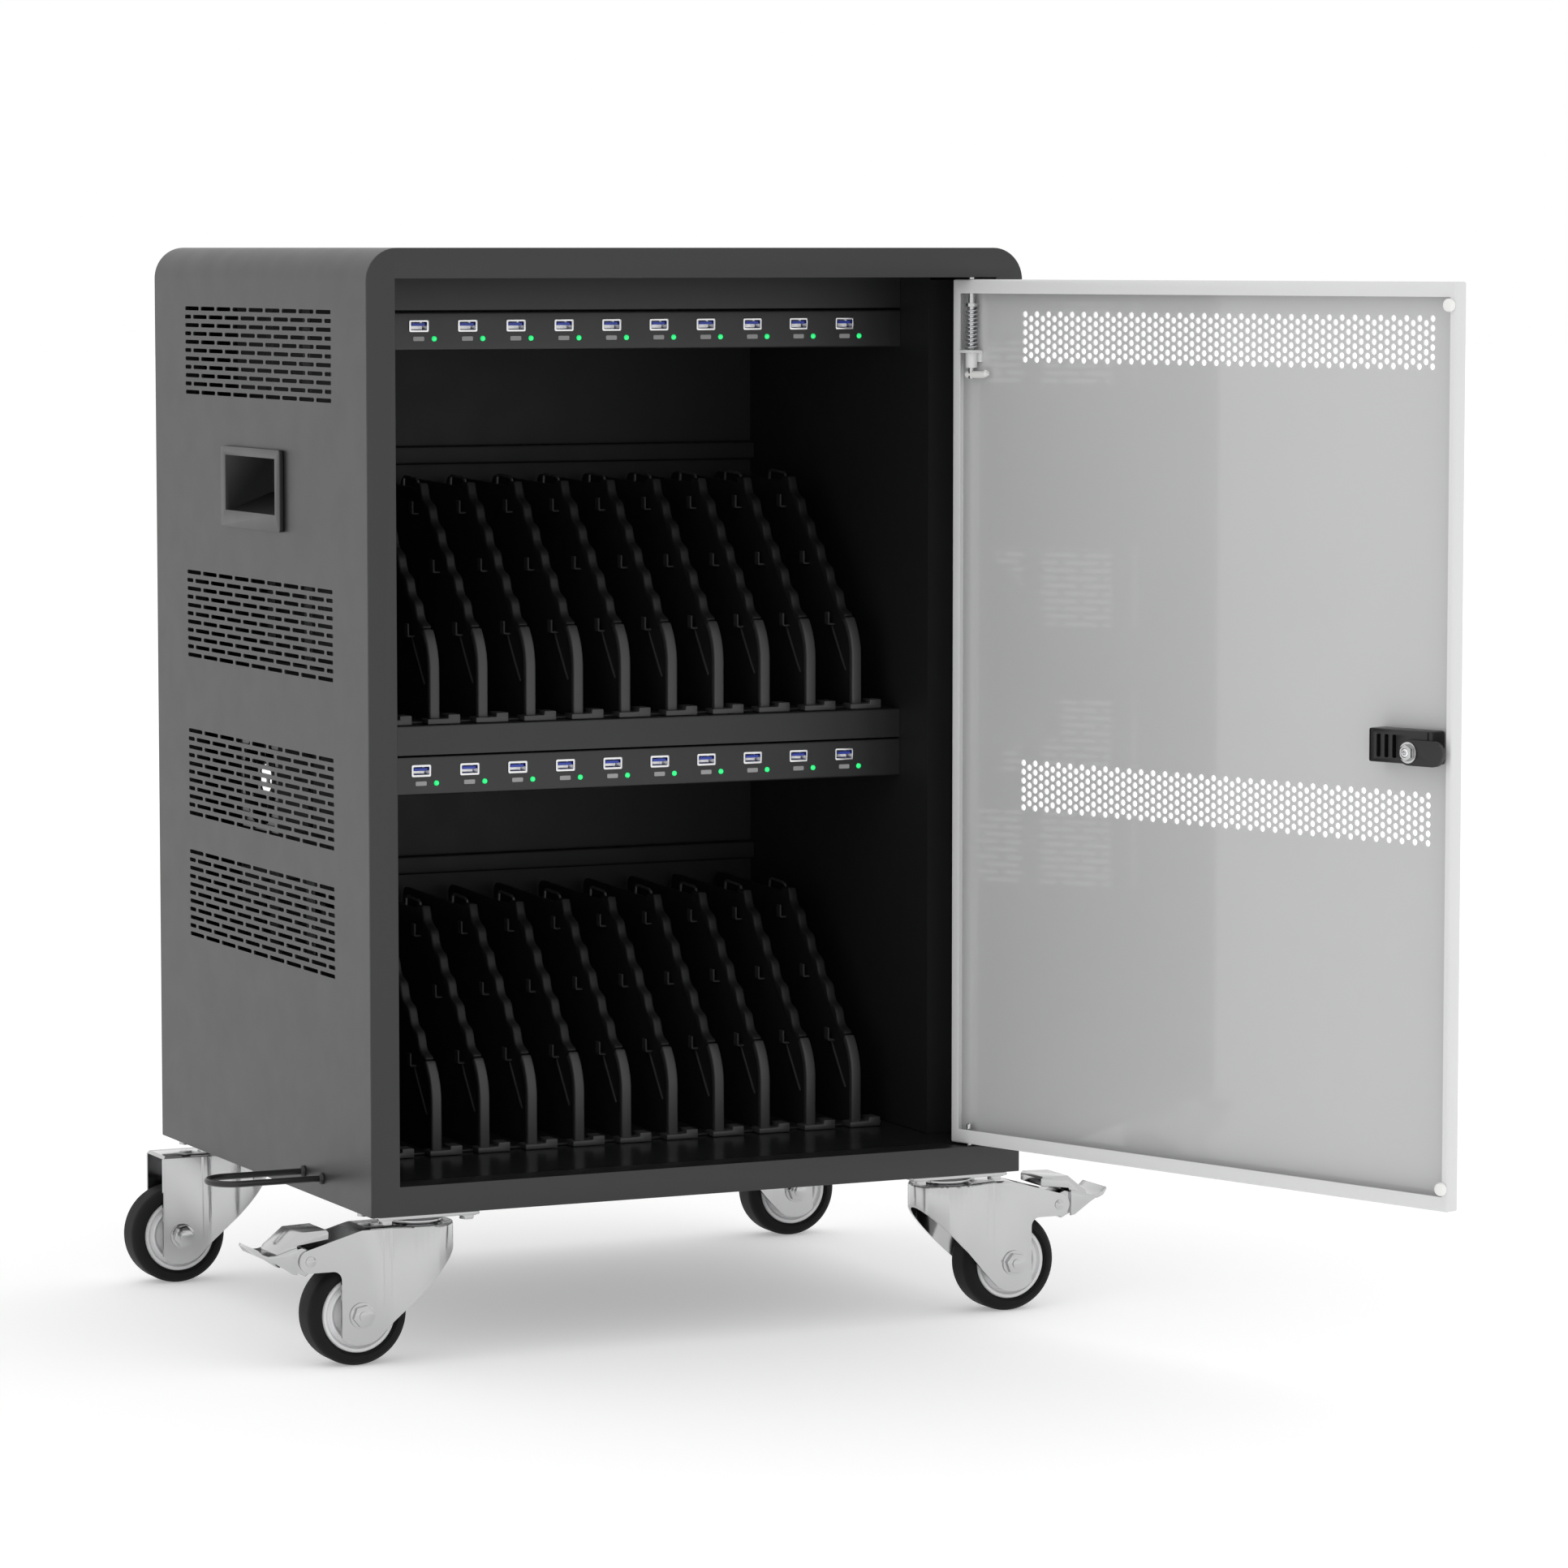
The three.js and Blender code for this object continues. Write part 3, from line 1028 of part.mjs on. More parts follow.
/** The cabinet and everything that is fixed in it. */
function cabinet() {
  const group = new THREE.Group();
  const lowerStripTop = SHELF_TOP - APRON_HEIGHT - STRIP_GAP;
  add(group, 'left_side_panel', sidePanel(-1), MATERIALS.cabinet);
  add(group, 'right_side_panel', sidePanel(1), MATERIALS.cabinet);
  add(group, 'top_cover', topCover(), MATERIALS.cabinet);
  add(group, 'front_frame', frontFrame(), MATERIALS.cabinet);
  add(group, 'back_panel', backPanel(), MATERIALS.cabinet);
  add(group, 'base_pan', basePan(), MATERIALS.cabinet);
  add(group, 'floor_plate', floorPlate(), MATERIALS.cabinet);
  add(group, 'left_liner', liner(-1), MATERIALS.inside);
  add(group, 'right_liner', liner(1), MATERIALS.inside);
  add(group, 'rear_partition', partition(), MATERIALS.inside);
  add(group, 'middle_shelf', shelf(), MATERIALS.cabinet);
  add(group, 'header_plate', header(), MATERIALS.cabinet);
  add(group, 'upper_strip', strip(UPPER_STRIP_TOP), MATERIALS.cabinet);
  add(group, 'lower_strip', strip(lowerStripTop), MATERIALS.cabinet);
  add(group, 'upper_socket_board', board(UPPER_STRIP_TOP), MATERIALS.board);
  add(group, 'lower_socket_board', board(lowerStripTop), MATERIALS.board);
  add(group, 'upper_divider_rack', rack(SHELF_TOP), MATERIALS.black);
  add(group, 'lower_divider_rack', rack(FLOOR_TOP), MATERIALS.black);
  add(group, 'left_handle', grip(-1), MATERIALS.cabinet);
  add(group, 'right_handle', grip(1), MATERIALS.cabinet);
  add(group, 'side_loop', sideLoop(), MATERIALS.black);
  add(group, 'power_unit', powerUnit(), MATERIALS.zinc);
  add(group, 'power_inlet', inlet(), MATERIALS.black);
  add(group, 'fan_frame', fanFrame(), MATERIALS.black);
  add(group, 'fan_rotor', fanRotor(), MATERIALS.black);
  return group;
}

/** The door with its hinge pins, lock and bumpers, hung on the hinge axis and swung open. */
function door() {
  const group = new THREE.Group();
  group.position.set(PIVOT_X, PIVOT_Y, 0);
  group.rotation.z = DOOR_OPEN;
  add(group, 'door_leaf', doorLeaf(), MATERIALS.door);
  add(group, 'hinge_bolt', hingeBolt(), MATERIALS.zinc);
  add(group, 'hinge_spring', hingeSpring(), MATERIALS.zinc);
  add(group, 'hinge_bracket', hingeBracket(), MATERIALS.door);
  add(group, 'lower_hinge_pin', lowerPin(), MATERIALS.zinc);
  add(group, 'lock_housing', lockHousing(), MATERIALS.black);
  add(group, 'lock_plug', lockPlug(), MATERIALS.chrome);
  add(group, 'lock_cam', lockCam(), MATERIALS.black);
  add(group, 'lock_nut', lockNut(), MATERIALS.chrome);
  add(group, 'upper_bumper', bumper(DOOR_TOP - BUMPER_INSET), MATERIALS.bumper);
  add(group, 'lower_bumper', bumper(DOOR_BOTTOM + BUMPER_INSET), MATERIALS.bumper);
  return group;
}

const cart = new THREE.Group();
cart.add(cabinet(), door());
cart.add(caster('front_left', -CASTER_X, -CASTER_Y, true));
cart.add(caster('front_right', CASTER_X, -CASTER_Y, true));
cart.add(caster('rear_left', -CASTER_X, CASTER_Y, false));
cart.add(caster('rear_right', CASTER_X, CASTER_Y, false));

export default cart;
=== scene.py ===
"""Looks of a laptop charging cart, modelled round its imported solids.

Lengths are written in millimetres and turned into metres where a mesh is made. +Z is up, the
front faces -Y, and the origin is the middle of the cabinet's underside.
"""

from __future__ import annotations

import json
import logging
import math
from contextlib import contextmanager
from dataclasses import dataclass, field
from enum import Enum
from itertools import product
from typing import Iterator, Sequence

import bpy
from mathutils import Euler, Matrix, Vector

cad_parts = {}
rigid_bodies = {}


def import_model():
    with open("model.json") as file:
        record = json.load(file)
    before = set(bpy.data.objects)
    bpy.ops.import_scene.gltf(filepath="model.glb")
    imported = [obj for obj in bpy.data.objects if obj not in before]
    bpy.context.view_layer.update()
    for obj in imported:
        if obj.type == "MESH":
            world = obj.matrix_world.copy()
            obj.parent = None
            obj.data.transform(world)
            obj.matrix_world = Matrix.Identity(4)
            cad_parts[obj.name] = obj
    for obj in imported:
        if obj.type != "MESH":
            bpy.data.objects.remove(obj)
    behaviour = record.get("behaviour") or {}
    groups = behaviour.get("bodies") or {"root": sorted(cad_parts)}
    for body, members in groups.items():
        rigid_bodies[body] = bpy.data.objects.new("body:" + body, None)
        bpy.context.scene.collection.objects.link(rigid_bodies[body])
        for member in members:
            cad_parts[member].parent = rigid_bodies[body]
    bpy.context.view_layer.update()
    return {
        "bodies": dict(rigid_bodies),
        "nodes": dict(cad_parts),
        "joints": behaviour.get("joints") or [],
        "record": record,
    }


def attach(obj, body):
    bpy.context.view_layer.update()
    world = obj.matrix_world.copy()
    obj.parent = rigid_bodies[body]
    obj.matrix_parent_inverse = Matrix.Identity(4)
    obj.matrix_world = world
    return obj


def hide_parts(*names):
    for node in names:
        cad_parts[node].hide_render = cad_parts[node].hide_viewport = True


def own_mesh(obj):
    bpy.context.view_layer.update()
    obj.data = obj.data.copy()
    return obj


log = logging.getLogger("charging_cart")

MM = 0.001
MERGE_GAP = 1e-6
SLIVER = 1e-7
CORNERS = ("front_left", "front_right", "rear_left", "rear_right")

Pair = tuple[float, float]
Triple = tuple[float, float, float]
Piece = bpy.types.Object
Tree = bpy.types.NodeTree


class Axis(Enum):
    """The direction that an outline is pulled along or a profile is spun about."""

    X = Vector((1, 0, 0))
    Y = Vector((0, 1, 0))
    Z = Vector((0, 0, 1))

    def place(self, u: float, v: float, along: float) -> Vector:
        """A point from its two places across the axis and one along it.

        Args:
            u: first place across: y for X, x for Y and Z.
            v: second place across: z for X and Y, y for Z.
            along: place along the axis.

        Returns:
            The point, in metres.
        """
        if self is Axis.X:
            return Vector((along, u, v)) * MM
        if self is Axis.Y:
            return Vector((u, along, v)) * MM
        return Vector((u, v, along)) * MM


# Bench: the small modelling steps that every piece is made with


def deselect() -> None:
    """Leaves edit mode and deselects everything."""
    if bpy.context.object is not None and bpy.context.object.mode != "OBJECT":
        bpy.ops.object.mode_set(mode="OBJECT")
    bpy.ops.object.select_all(action="DESELECT")


def activate(piece: Piece) -> None:
    """Selects one piece alone and makes it active.

    Args:
        piece: the piece to work on.
    """
    deselect()
    piece.select_set(True)
    bpy.context.view_layer.objects.active = piece


@contextmanager
def editing() -> Iterator[None]:
    """Holds the active piece in edit mode, with all of it selected at first."""
    bpy.ops.object.mode_set(mode="EDIT")
    bpy.ops.mesh.select_all(action="SELECT")
    yield
    bpy.ops.object.mode_set(mode="OBJECT")


def settle(piece: Piece, name: str) -> Piece:
    """Writes a piece's place, turn and size into its mesh and names it.

    Args:
        piece: the piece to settle.
        name: its name.

    Returns:
        The same piece, with its object at the origin.
    """
    activate(piece)
    bpy.ops.object.transform_apply(location=True, rotation=True, scale=True)
    piece.name = name
    piece.data.name = name
    return piece


def clean(piece: Piece) -> Piece:
    """Merges doubled points and turns all faces outwards.

    Args:
        piece: a closed piece.

    Returns:
        The same piece.
    """
    activate(piece)
    with editing():
        bpy.ops.mesh.remove_doubles(threshold=MERGE_GAP)
        bpy.ops.mesh.dissolve_degenerate(threshold=SLIVER)
        bpy.ops.mesh.select_all(action="SELECT")
        bpy.ops.mesh.normals_make_consistent(inside=False)
    return piece


def add_box(name: str, low: Triple, high: Triple) -> Piece:
    """A block between two corners, to be shaped further.

    Args:
        name: the piece's name.
        low: its lowest corner, in millimetres.
        high: its highest corner, in millimetres.

    Returns:
        The new piece.
    """
    deselect()
    near, far = Vector(low) * MM, Vector(high) * MM
    bpy.ops.mesh.primitive_cube_add(size=1, location=(near + far) / 2)
    piece = bpy.context.object
    piece.scale = far - near
    return settle(piece, name)


def add_plate(name: str, outline: Sequence[Pair], axis: Axis, start: float, stop: float) -> Piece:
    """A flat outline pulled along an axis.

    Args:
        name: the piece's name.
        outline: its corners in order, across the axis.
        axis: the direction it is pulled along.
        start: where it begins along the axis.
        stop: where it ends along the axis.

    Returns:
        The new closed piece.
    """
    deselect()
    bpy.ops.mesh.primitive_circle_add(vertices=len(outline), radius=1, fill_type="NGON")
    piece = bpy.context.object
    for vertex, (u, v) in zip(piece.data.vertices, outline):
        vertex.co = axis.place(u, v, start)
    pull = axis.place(0, 0, stop - start)
    with editing():
        bpy.ops.mesh.extrude_region_move(TRANSFORM_OT_translate={"value": pull})
    return clean(settle(piece, name))


def add_turned(
    name: str, profile: Sequence[Pair], axis: Axis, centre: Triple, steps: int = 48
) -> Piece:
    """A closed profile spun round an axis.

    Args:
        name: the piece's name.
        profile: (radius, height along the axis) points in order.
        axis: the axis it turns about.
        centre: a point on the axis from which heights count.
        steps: facets of the full turn.

    Returns:
        The new closed piece.
    """
    deselect()
    bpy.ops.mesh.primitive_circle_add(vertices=len(profile), radius=1, fill_type="NOTHING")
    piece = bpy.context.object
    middle = Vector(centre) * MM
    for vertex, (radius, height) in zip(piece.data.vertices, profile):
        vertex.co = middle + axis.place(radius, 0, height)
    with editing():
        bpy.ops.mesh.spin(steps=steps, angle=2 * math.pi, center=middle, axis=axis.value)
    return clean(settle(piece, name))


def add_wire(name: str, path: Sequence[Triple], radius: float, rounds: int = 3) -> Piece:
    """A round wire along a path.

    Args:
        name: the piece's name.
        path: the wire's middle line, point by point.
        radius: the wire's radius.
        rounds: fineness of its round section.

    Returns:
        The new closed piece, as a mesh.
    """
    deselect()
    bpy.ops.curve.primitive_nurbs_path_add()
    wire = bpy.context.object
    wire.data.splines.clear()
    spline = wire.data.splines.new("POLY")
    spline.points.add(len(path) - 1)
    for point, place in zip(spline.points, path):
        point.co = (*(Vector(place) * MM), 1)
    wire.data.bevel_depth = radius * MM
    wire.data.bevel_resolution = rounds
    wire.data.use_fill_caps = True
    activate(wire)
    bpy.ops.object.convert(target="MESH")
    return clean(settle(bpy.context.object, name))


def modify(piece: Piece, kind: str, **settings: object) -> Piece:
    """Adds one modifier and applies it.

    Args:
        piece: the piece to change.
        kind: the modifier's type.
        **settings: its settings by name.

    Returns:
        The same piece.
    """
    activate(piece)
    bpy.ops.object.modifier_add(type=kind)
    modifier = piece.modifiers[-1]
    for key, value in settings.items():
        setattr(modifier, key, value)
    bpy.ops.object.modifier_apply(modifier=modifier.name)
    return piece


def row_of(piece: Piece, count: int, step: Triple) -> Piece:
    """Repeats a piece in a straight row, as one mesh.

    Args:
        piece: the piece to repeat.
        count: how many there are in the row.
        step: from one to the next.

    Returns:
        The same piece, now the whole row.
    """
    return modify(
        piece,
        "ARRAY",
        count=count,
        use_relative_offset=False,
        use_constant_offset=True,
        constant_offset_displace=Vector(step) * MM,
    )


def fuse(name: str, *pieces: Piece) -> Piece:
    """Joins several meshes into one object.

    Args:
        name: the new piece's name.
        *pieces: what is joined; the first one stays.

    Returns:
        The joined piece.
    """
    activate(pieces[0])
    for other in pieces[1:]:
        other.select_set(True)
    if len(pieces) > 1:
        bpy.ops.object.join()
    return settle(pieces[0], name)


def carve(piece: Piece, *cutters: Piece) -> Piece:
    """Cuts other pieces out of one and removes them.

    Args:
        piece: the closed piece that is cut.
        *cutters: closed pieces that don't overlap one another.

    Returns:
        The same piece.
    """
    tool = fuse("cutter", *cutters)
    modify(piece, "BOOLEAN", operation="DIFFERENCE", solver="MANIFOLD", object=tool)
    bpy.data.objects.remove(tool)
    return piece


def weld(piece: Piece, *others: Piece) -> Piece:
    """Unites overlapping closed pieces into one skin.

    Args:
        piece: the piece that stays.
        *others: closed pieces that overlap it.

    Returns:
        The same piece.
    """
    for other in others:
        modify(piece, "BOOLEAN", operation="UNION", solver="MANIFOLD", object=other)
        bpy.data.objects.remove(other)
    return piece


def smooth(piece: Piece, angle: float = 35) -> Piece:
    """Shades a piece smooth except over its sharp edges.

    Args:
        piece: the piece to shade.
        angle: the least angle of a sharp edge, in degrees.

    Returns:
        The same piece.
    """
    activate(piece)
    bpy.ops.object.shade_smooth_by_angle(angle=math.radians(angle))
    return piece


def soften(piece: Piece, width: float, segments: int = 2, angle: float = 40) -> Piece:
    """Rounds a piece's sharp edges.

    Args:
        piece: the piece to round.
        width: width of the rounding.
        segments: facets of the rounding.
        angle: the least angle of an edge that is rounded, in degrees.

    Returns:
        The same piece, shaded smooth.
    """
    modify(
        piece,
        "BEVEL",
        width=width * MM,
        segments=segments,
        limit_method="ANGLE",
        angle_limit=math.radians(angle),
    )
    return smooth(piece)


def twin(piece: Piece, name: str, place: Matrix) -> Piece:
    """A copy with its own mesh, put somewhere else.

    Args:
        piece: the piece to copy.
        name: the copy's name.
        place: where the copy goes, from where the piece is.

    Returns:
        The copy.
    """
    activate(piece)
    bpy.ops.object.duplicate(linked=False)
    copy = bpy.context.object
    copy.matrix_world = place
    settle(copy, name)
    return copy


def shift(x: float, y: float, z: float) -> Matrix:
    """A move in millimetres."""
    return Matrix.Translation(Vector((x, y, z)) * MM)


def arc(u: float, v: float, radius: float, begin: float, end: float, steps: int) -> list[Pair]:
    """Points along a round corner.

    Args:
        u: first place of the centre.
        v: second place of the centre.
        radius: the corner's radius.
        begin: first angle, in degrees.
        end: last angle, in degrees.
        steps: facets.

    Returns:
        The points from begin to end.
    """
    angles = [math.radians(begin + (end - begin) * i / steps) for i in range(steps + 1)]
    return [(u + radius * math.cos(a), v + radius * math.sin(a)) for a in angles]


def rectangle(u0: float, u1: float, v0: float, v1: float) -> list[Pair]:
    """The corners of a rectangle, in order."""
    return [(u0, v0), (u1, v0), (u1, v1), (u0, v1)]


def rounded(
    u0: float, u1: float, v0: float, v1: float, radius: float, steps: int = 5
) -> list[Pair]:
    """The outline of a rectangle with round corners.

    Args:
        u0: its first edge across.
        u1: its last edge across.
        v0: its lower edge.
        v1: its upper edge.
        radius: radius of the corners.
        steps: facets of a corner.

    Returns:
        The outline's points in order.
    """
    r = radius
    return [
        *arc(u1 - r, v1 - r, r, 0, 90, steps),
        *arc(u0 + r, v1 - r, r, 90, 180, steps),
        *arc(u0 + r, v0 + r, r, 180, 270, steps),
        *arc(u1 - r, v0 + r, r, 270, 360, steps),
    ]


def pad(middle: Pair, half: Pair, radius: float, steps: int = 5) -> list[Pair]:
    """The outline of a rectangle with round corners about its middle.

    Args:
        middle: its middle point.
        half: half its width and half its height.
        radius: radius of the corners.
        steps: facets of a corner.

    Returns:
        The outline's points in order.
    """
    (u, v), (across, up) = middle, half
    return rounded(u - across, u + across, v - up, v + up, radius, steps)


def disc(u: float, v: float, radius: float, sides: int = 32) -> list[Pair]:
    """The outline of a circle."""
    return arc(u, v, radius, 0, 360 - 360 / sides, sides - 1)


# Finishes

# Noise values that count as the two ends of an uneven gloss
NOISE_LOW, NOISE_HIGH = 0.3, 0.7
# A colour Mix node's own sockets, which share their names with its number sockets
MIX_FIRST, MIX_SECOND, MIX_RESULT = 6, 7, 2
# Depth of the fine grain, in metres
GRAIN_DEPTH = 0.0004
SKIN_OUTPUTS = {
    "Colour": "NodeSocketColor",
    "Roughness": "NodeSocketFloat",
    "Height": "NodeSocketFloat",
}


def skin_tree(name: str, inputs: dict[str, object]) -> Tree:
    """An empty surface pattern with its named sockets.

    Args:
        name: the group's name.
        inputs: default value by socket name; a tuple of four is a colour, of three a vector.

    Returns:
        The new group, with its input and output nodes in place.
    """
    tree = bpy.data.node_groups.new(name, "ShaderNodeTree")
    for key, value in inputs.items():
        kind = "NodeSocketFloat"
        if isinstance(value, tuple):
            kind = "NodeSocketColor" if len(value) == 4 else "NodeSocketVector"
        socket = tree.interface.new_socket(name=key, in_out="INPUT", socket_type=kind)
        socket.default_value = value
    for key, kind in SKIN_OUTPUTS.items():
        tree.interface.new_socket(name=key, in_out="OUTPUT", socket_type=kind)
    tree.nodes.new("NodeGroupInput").name = "In"
    tree.nodes.new("NodeGroupOutput").name = "Out"
    return tree


def link(tree: Tree, source: tuple[str, str], target: tuple[str, str]) -> None:
    """Links two sockets, each given as node and socket name."""
    (first, out), (last, into) = source, target
    tree.links.new(tree.nodes[first].outputs[out], tree.nodes[last].inputs[into])


def noise(tree: Tree, name: str, scale: float, detail: float, source: str = "In") -> None:
    """Adds a noise texture.

    Args:
        tree: the group.
        name: the texture's name.
        scale: its scale.
        detail: its detail.
        source: the node whose Vector it reads.
    """
    node = tree.nodes.new("ShaderNodeTexNoise")
    node.name = name
    node.inputs["Scale"].default_value = scale
    node.inputs["Detail"].default_value = detail
    link(tree, (source, "Vector"), (name, "Vector"))


def join_skin(tree: Tree, second: str, tone: str, sheen: str, relief: str) -> None:
    """Brings a pattern's noises together into its colour, roughness and height.

    Args:
        tree: the group.
        second: the input that holds its second colour.
        tone: the noise between its two colours.
        sheen: the noise of its gloss.
        relief: the noise of its grain.
    """
    mix = tree.nodes.new("ShaderNodeMix")
    mix.name, mix.data_type = "Tint", "RGBA"
    inputs = tree.nodes["In"].outputs
    tree.links.new(tree.nodes[tone].outputs["Fac"], mix.inputs["Factor"])
    tree.links.new(inputs["Colour"], mix.inputs[MIX_FIRST])
    tree.links.new(inputs[second], mix.inputs[MIX_SECOND])
    tree.links.new(mix.outputs[MIX_RESULT], tree.nodes["Out"].inputs["Colour"])
    uneven = tree.nodes.new("ShaderNodeMapRange")
    uneven.name = "Uneven"
    uneven.inputs["From Min"].default_value = NOISE_LOW
    uneven.inputs["From Max"].default_value = NOISE_HIGH
    link(tree, (sheen, "Fac"), ("Uneven", "Value"))
    link(tree, ("In", "Gloss Low"), ("Uneven", "To Min"))
    link(tree, ("In", "Gloss High"), ("Uneven", "To Max"))
    link(tree, ("Uneven", "Result"), ("Out", "Roughness"))
    link(tree, (relief, "Fac"), ("Out", "Height"))


def sprayed_skin() -> Tree:
    """A sprayed or moulded surface: faint blotches, uneven gloss and fine pebble.

    Returns:
        The new group.
    """
    inputs = {
        "Vector": (0.0, 0.0, 0.0),
        "Colour": (0.5, 0.5, 0.5, 1.0),
        "Blotch": (0.5, 0.5, 0.5, 1.0),
        "Gloss Low": 0.3,
        "Gloss High": 0.4,
        "Pebble": 900.0,
    }
    tree = skin_tree("sprayed_skin", inputs)
    noise(tree, "Blotches", scale=9.0, detail=3.0)
    noise(tree, "Sheen", scale=38.0, detail=4.0)
    noise(tree, "Pebbles", scale=900.0, detail=1.0)
    link(tree, ("In", "Pebble"), ("Pebbles", "Scale"))
    join_skin(tree, "Blotch", tone="Blotches", sheen="Sheen", relief="Pebbles")
    return tree


def plated_skin() -> Tree:
    """A plated sheet: long faint drawing lines and cloudy gloss.

    Returns:
        The new group.
    """
    inputs = {
        "Vector": (0.0, 0.0, 0.0),
        "Colour": (0.7, 0.7, 0.7, 1.0),
        "Cloud": (0.6, 0.6, 0.6, 1.0),
        "Gloss Low": 0.15,
        "Gloss High": 0.25,
    }
    tree = skin_tree("plated_skin", inputs)
    stretch = tree.nodes.new("ShaderNodeMapping")
    stretch.name = "Stretch"
    stretch.inputs["Scale"].default_value = (1.0, 1.0, 0.06)
    link(tree, ("In", "Vector"), ("Stretch", "Vector"))
    noise(tree, "Clouds", scale=26.0, detail=5.0)
    noise(tree, "Lines", scale=1500.0, detail=2.0, source="Stretch")
    join_skin(tree, "Cloud", tone="Clouds", sheen="Clouds", relief="Lines")
    return tree


class Skin(Enum):
    """The shared surface pattern that a finish uses."""

    SPRAYED = "sprayed_skin"
    PLATED = "plated_skin"

    def group(self) -> Tree:
        """The pattern's shader group, built once.

        Returns:
            The group.
        """
        known = bpy.data.node_groups.get(self.value)
        if known is not None:
            return known
        return sprayed_skin() if self is Skin.SPRAYED else plated_skin()


@dataclass(frozen=True)
class Finish:
    """One surface finish of the cart.

    Attributes:
        name: the material's name.
        slot: the record's material slot that it belongs to; not used.
        colour: its main colour, linear.
        vary: how much lighter or darker its blotches are.
        gloss: least and greatest roughness.
        skin: the surface pattern.
        pebble: scale of the fine grain, per metre.
        bump: strength of the fine grain.
        metallic: 1 for bare metal.
        specular: level of the plain reflection.
        coat: weight of a clear top coat.
        coat_roughness: roughness of that coat.
        glow: strength of its own light.
    """

    name: str
    slot: str
    colour: Triple
    vary: float = 0.12
    gloss: Pair = (0.35, 0.45)
    skin: Skin = Skin.SPRAYED
    pebble: float = 900.0
    bump: float = 0.04
    metallic: float = 0.0
    specular: float = 0.5
    coat: float = 0.0
    coat_roughness: float = 0.04
    glow: float = 0.0

    def material(self) -> bpy.types.Material:
        """The finish as a material, made once.

        Returns:
            The material.
        """
        known = bpy.data.materials.get(self.name)
        if known is not None:
            return known
        material = bpy.data.materials.new(self.name)
        material.use_nodes = True
        material.diffuse_color = (*self.colour, 1)
        tree = material.node_tree
        shader = tree.nodes["Principled BSDF"]
        shader.inputs["Metallic"].default_value = self.metallic
        shader.inputs["Specular IOR Level"].default_value = self.specular
        shader.inputs["Coat Weight"].default_value = self.coat
        shader.inputs["Coat Roughness"].default_value = self.coat_roughness
        place = tree.nodes.new("ShaderNodeTexCoord")
        skin = tree.nodes.new("ShaderNodeGroup")
        skin.node_tree = self.skin.group()
        other = "Blotch" if self.skin is Skin.SPRAYED else "Cloud"
        darker = [c * (1 - self.vary) for c in self.colour]
        lighter = [min(1, c * (1 + self.vary)) for c in self.colour]
        skin.inputs["Colour"].default_value = (*darker, 1)
        skin.inputs[other].default_value = (*lighter, 1)
        skin.inputs["Gloss Low"].default_value = self.gloss[0]
        skin.inputs["Gloss High"].default_value = self.gloss[1]
        if self.skin is Skin.SPRAYED:
            skin.inputs["Pebble"].default_value = self.pebble
        bump = tree.nodes.new("ShaderNodeBump")
        bump.inputs["Strength"].default_value = self.bump
        bump.inputs["Distance"].default_value = GRAIN_DEPTH
        tree.links.new(place.outputs["Object"], skin.inputs["Vector"])
        tree.links.new(skin.outputs["Colour"], shader.inputs["Base Color"])
        tree.links.new(skin.outputs["Roughness"], shader.inputs["Roughness"])
        tree.links.new(skin.outputs["Height"], bump.inputs["Height"])
        tree.links.new(bump.outputs["Normal"], shader.inputs["Normal"])
        if self.glow:
            tree.links.new(skin.outputs["Colour"], shader.inputs["Emission Color"])
            shader.inputs["Emission Strength"].default_value = self.glow
        return material


GRAPHITE_COAT = Finish(
    "graphite_powder_coat", "cabinet", (0.0098, 0.0099, 0.0103),
    vary=0.05, gloss=(0.39, 0.42), bump=0.03, specular=0.64,
)
INNER_COAT = Finish(
    "inner_powder_coat", "inside", (0.0125, 0.0126, 0.0129),
    vary=0.05, gloss=(0.44, 0.5), specular=0.3,
)
FLOOR_COAT = Finish("floor_gloss_coat", "inside", (0.014, 0.0141, 0.0144), 0.05, (0.2, 0.26))
DOOR_COAT = Finish("pale_gloss_coat", "door", (0.70, 0.702, 0.705), 0.02, (0.3, 0.36), bump=0.02)
# The door's pale paint, darker on the recessed panel: the lower tone is painted shade, and the
# clear coat is real gloss.
SHADED_PANEL_COAT = Finish(
    "panel_coat_painted_shade", "door", (0.52, 0.522, 0.526),
    vary=0.02, gloss=(0.3, 0.36), bump=0.02, coat=1.0,
)
BLACK_MOULDING = Finish(
    "black_moulding", "black", (0.009, 0.009, 0.0095),
    gloss=(0.38, 0.5), bump=0.08,
)
LOCK_MOULDING = Finish(
    "lock_moulding", "black", (0.008, 0.008, 0.008),
    gloss=(0.3, 0.42), bump=0.06,
)
DARK_WIRE = Finish("dark_wire_coat", "black", (0.012, 0.012, 0.0125), gloss=(0.3, 0.4))
ZINC_PLATE = Finish(
    "bright_zinc", "zinc", (0.52, 0.522, 0.526),
    vary=0.05, gloss=(0.11, 0.18), skin=Skin.PLATED, bump=0.04, metallic=1.0,
)
STEEL_CASE = Finish(
    "plain_steel", "zinc", (0.55, 0.56, 0.57),
    vary=0.1, gloss=(0.3, 0.42), skin=Skin.PLATED, bump=0.06, metallic=1.0,
)
POLISHED = Finish(
    "polished_chrome", "chrome", (0.87, 0.87, 0.88),
    vary=0.03, gloss=(0.06, 0.12), skin=Skin.PLATED, bump=0.01, metallic=1.0,
)
TYRE_RUBBER = Finish(
    "tyre_rubber", "tyre", (0.0075, 0.0075, 0.0078),
    vary=0.12, gloss=(0.58, 0.68), pebble=1400.0, bump=0.1, specular=0.16,
)
HUB_MOULDING = Finish("grey_hub", "hub", (0.72, 0.722, 0.728), 0.05, (0.32, 0.42))
BUFFER_RUBBER = Finish("white_buffer", "bumper", (0.85, 0.85, 0.83), 0.03, (0.35, 0.45))
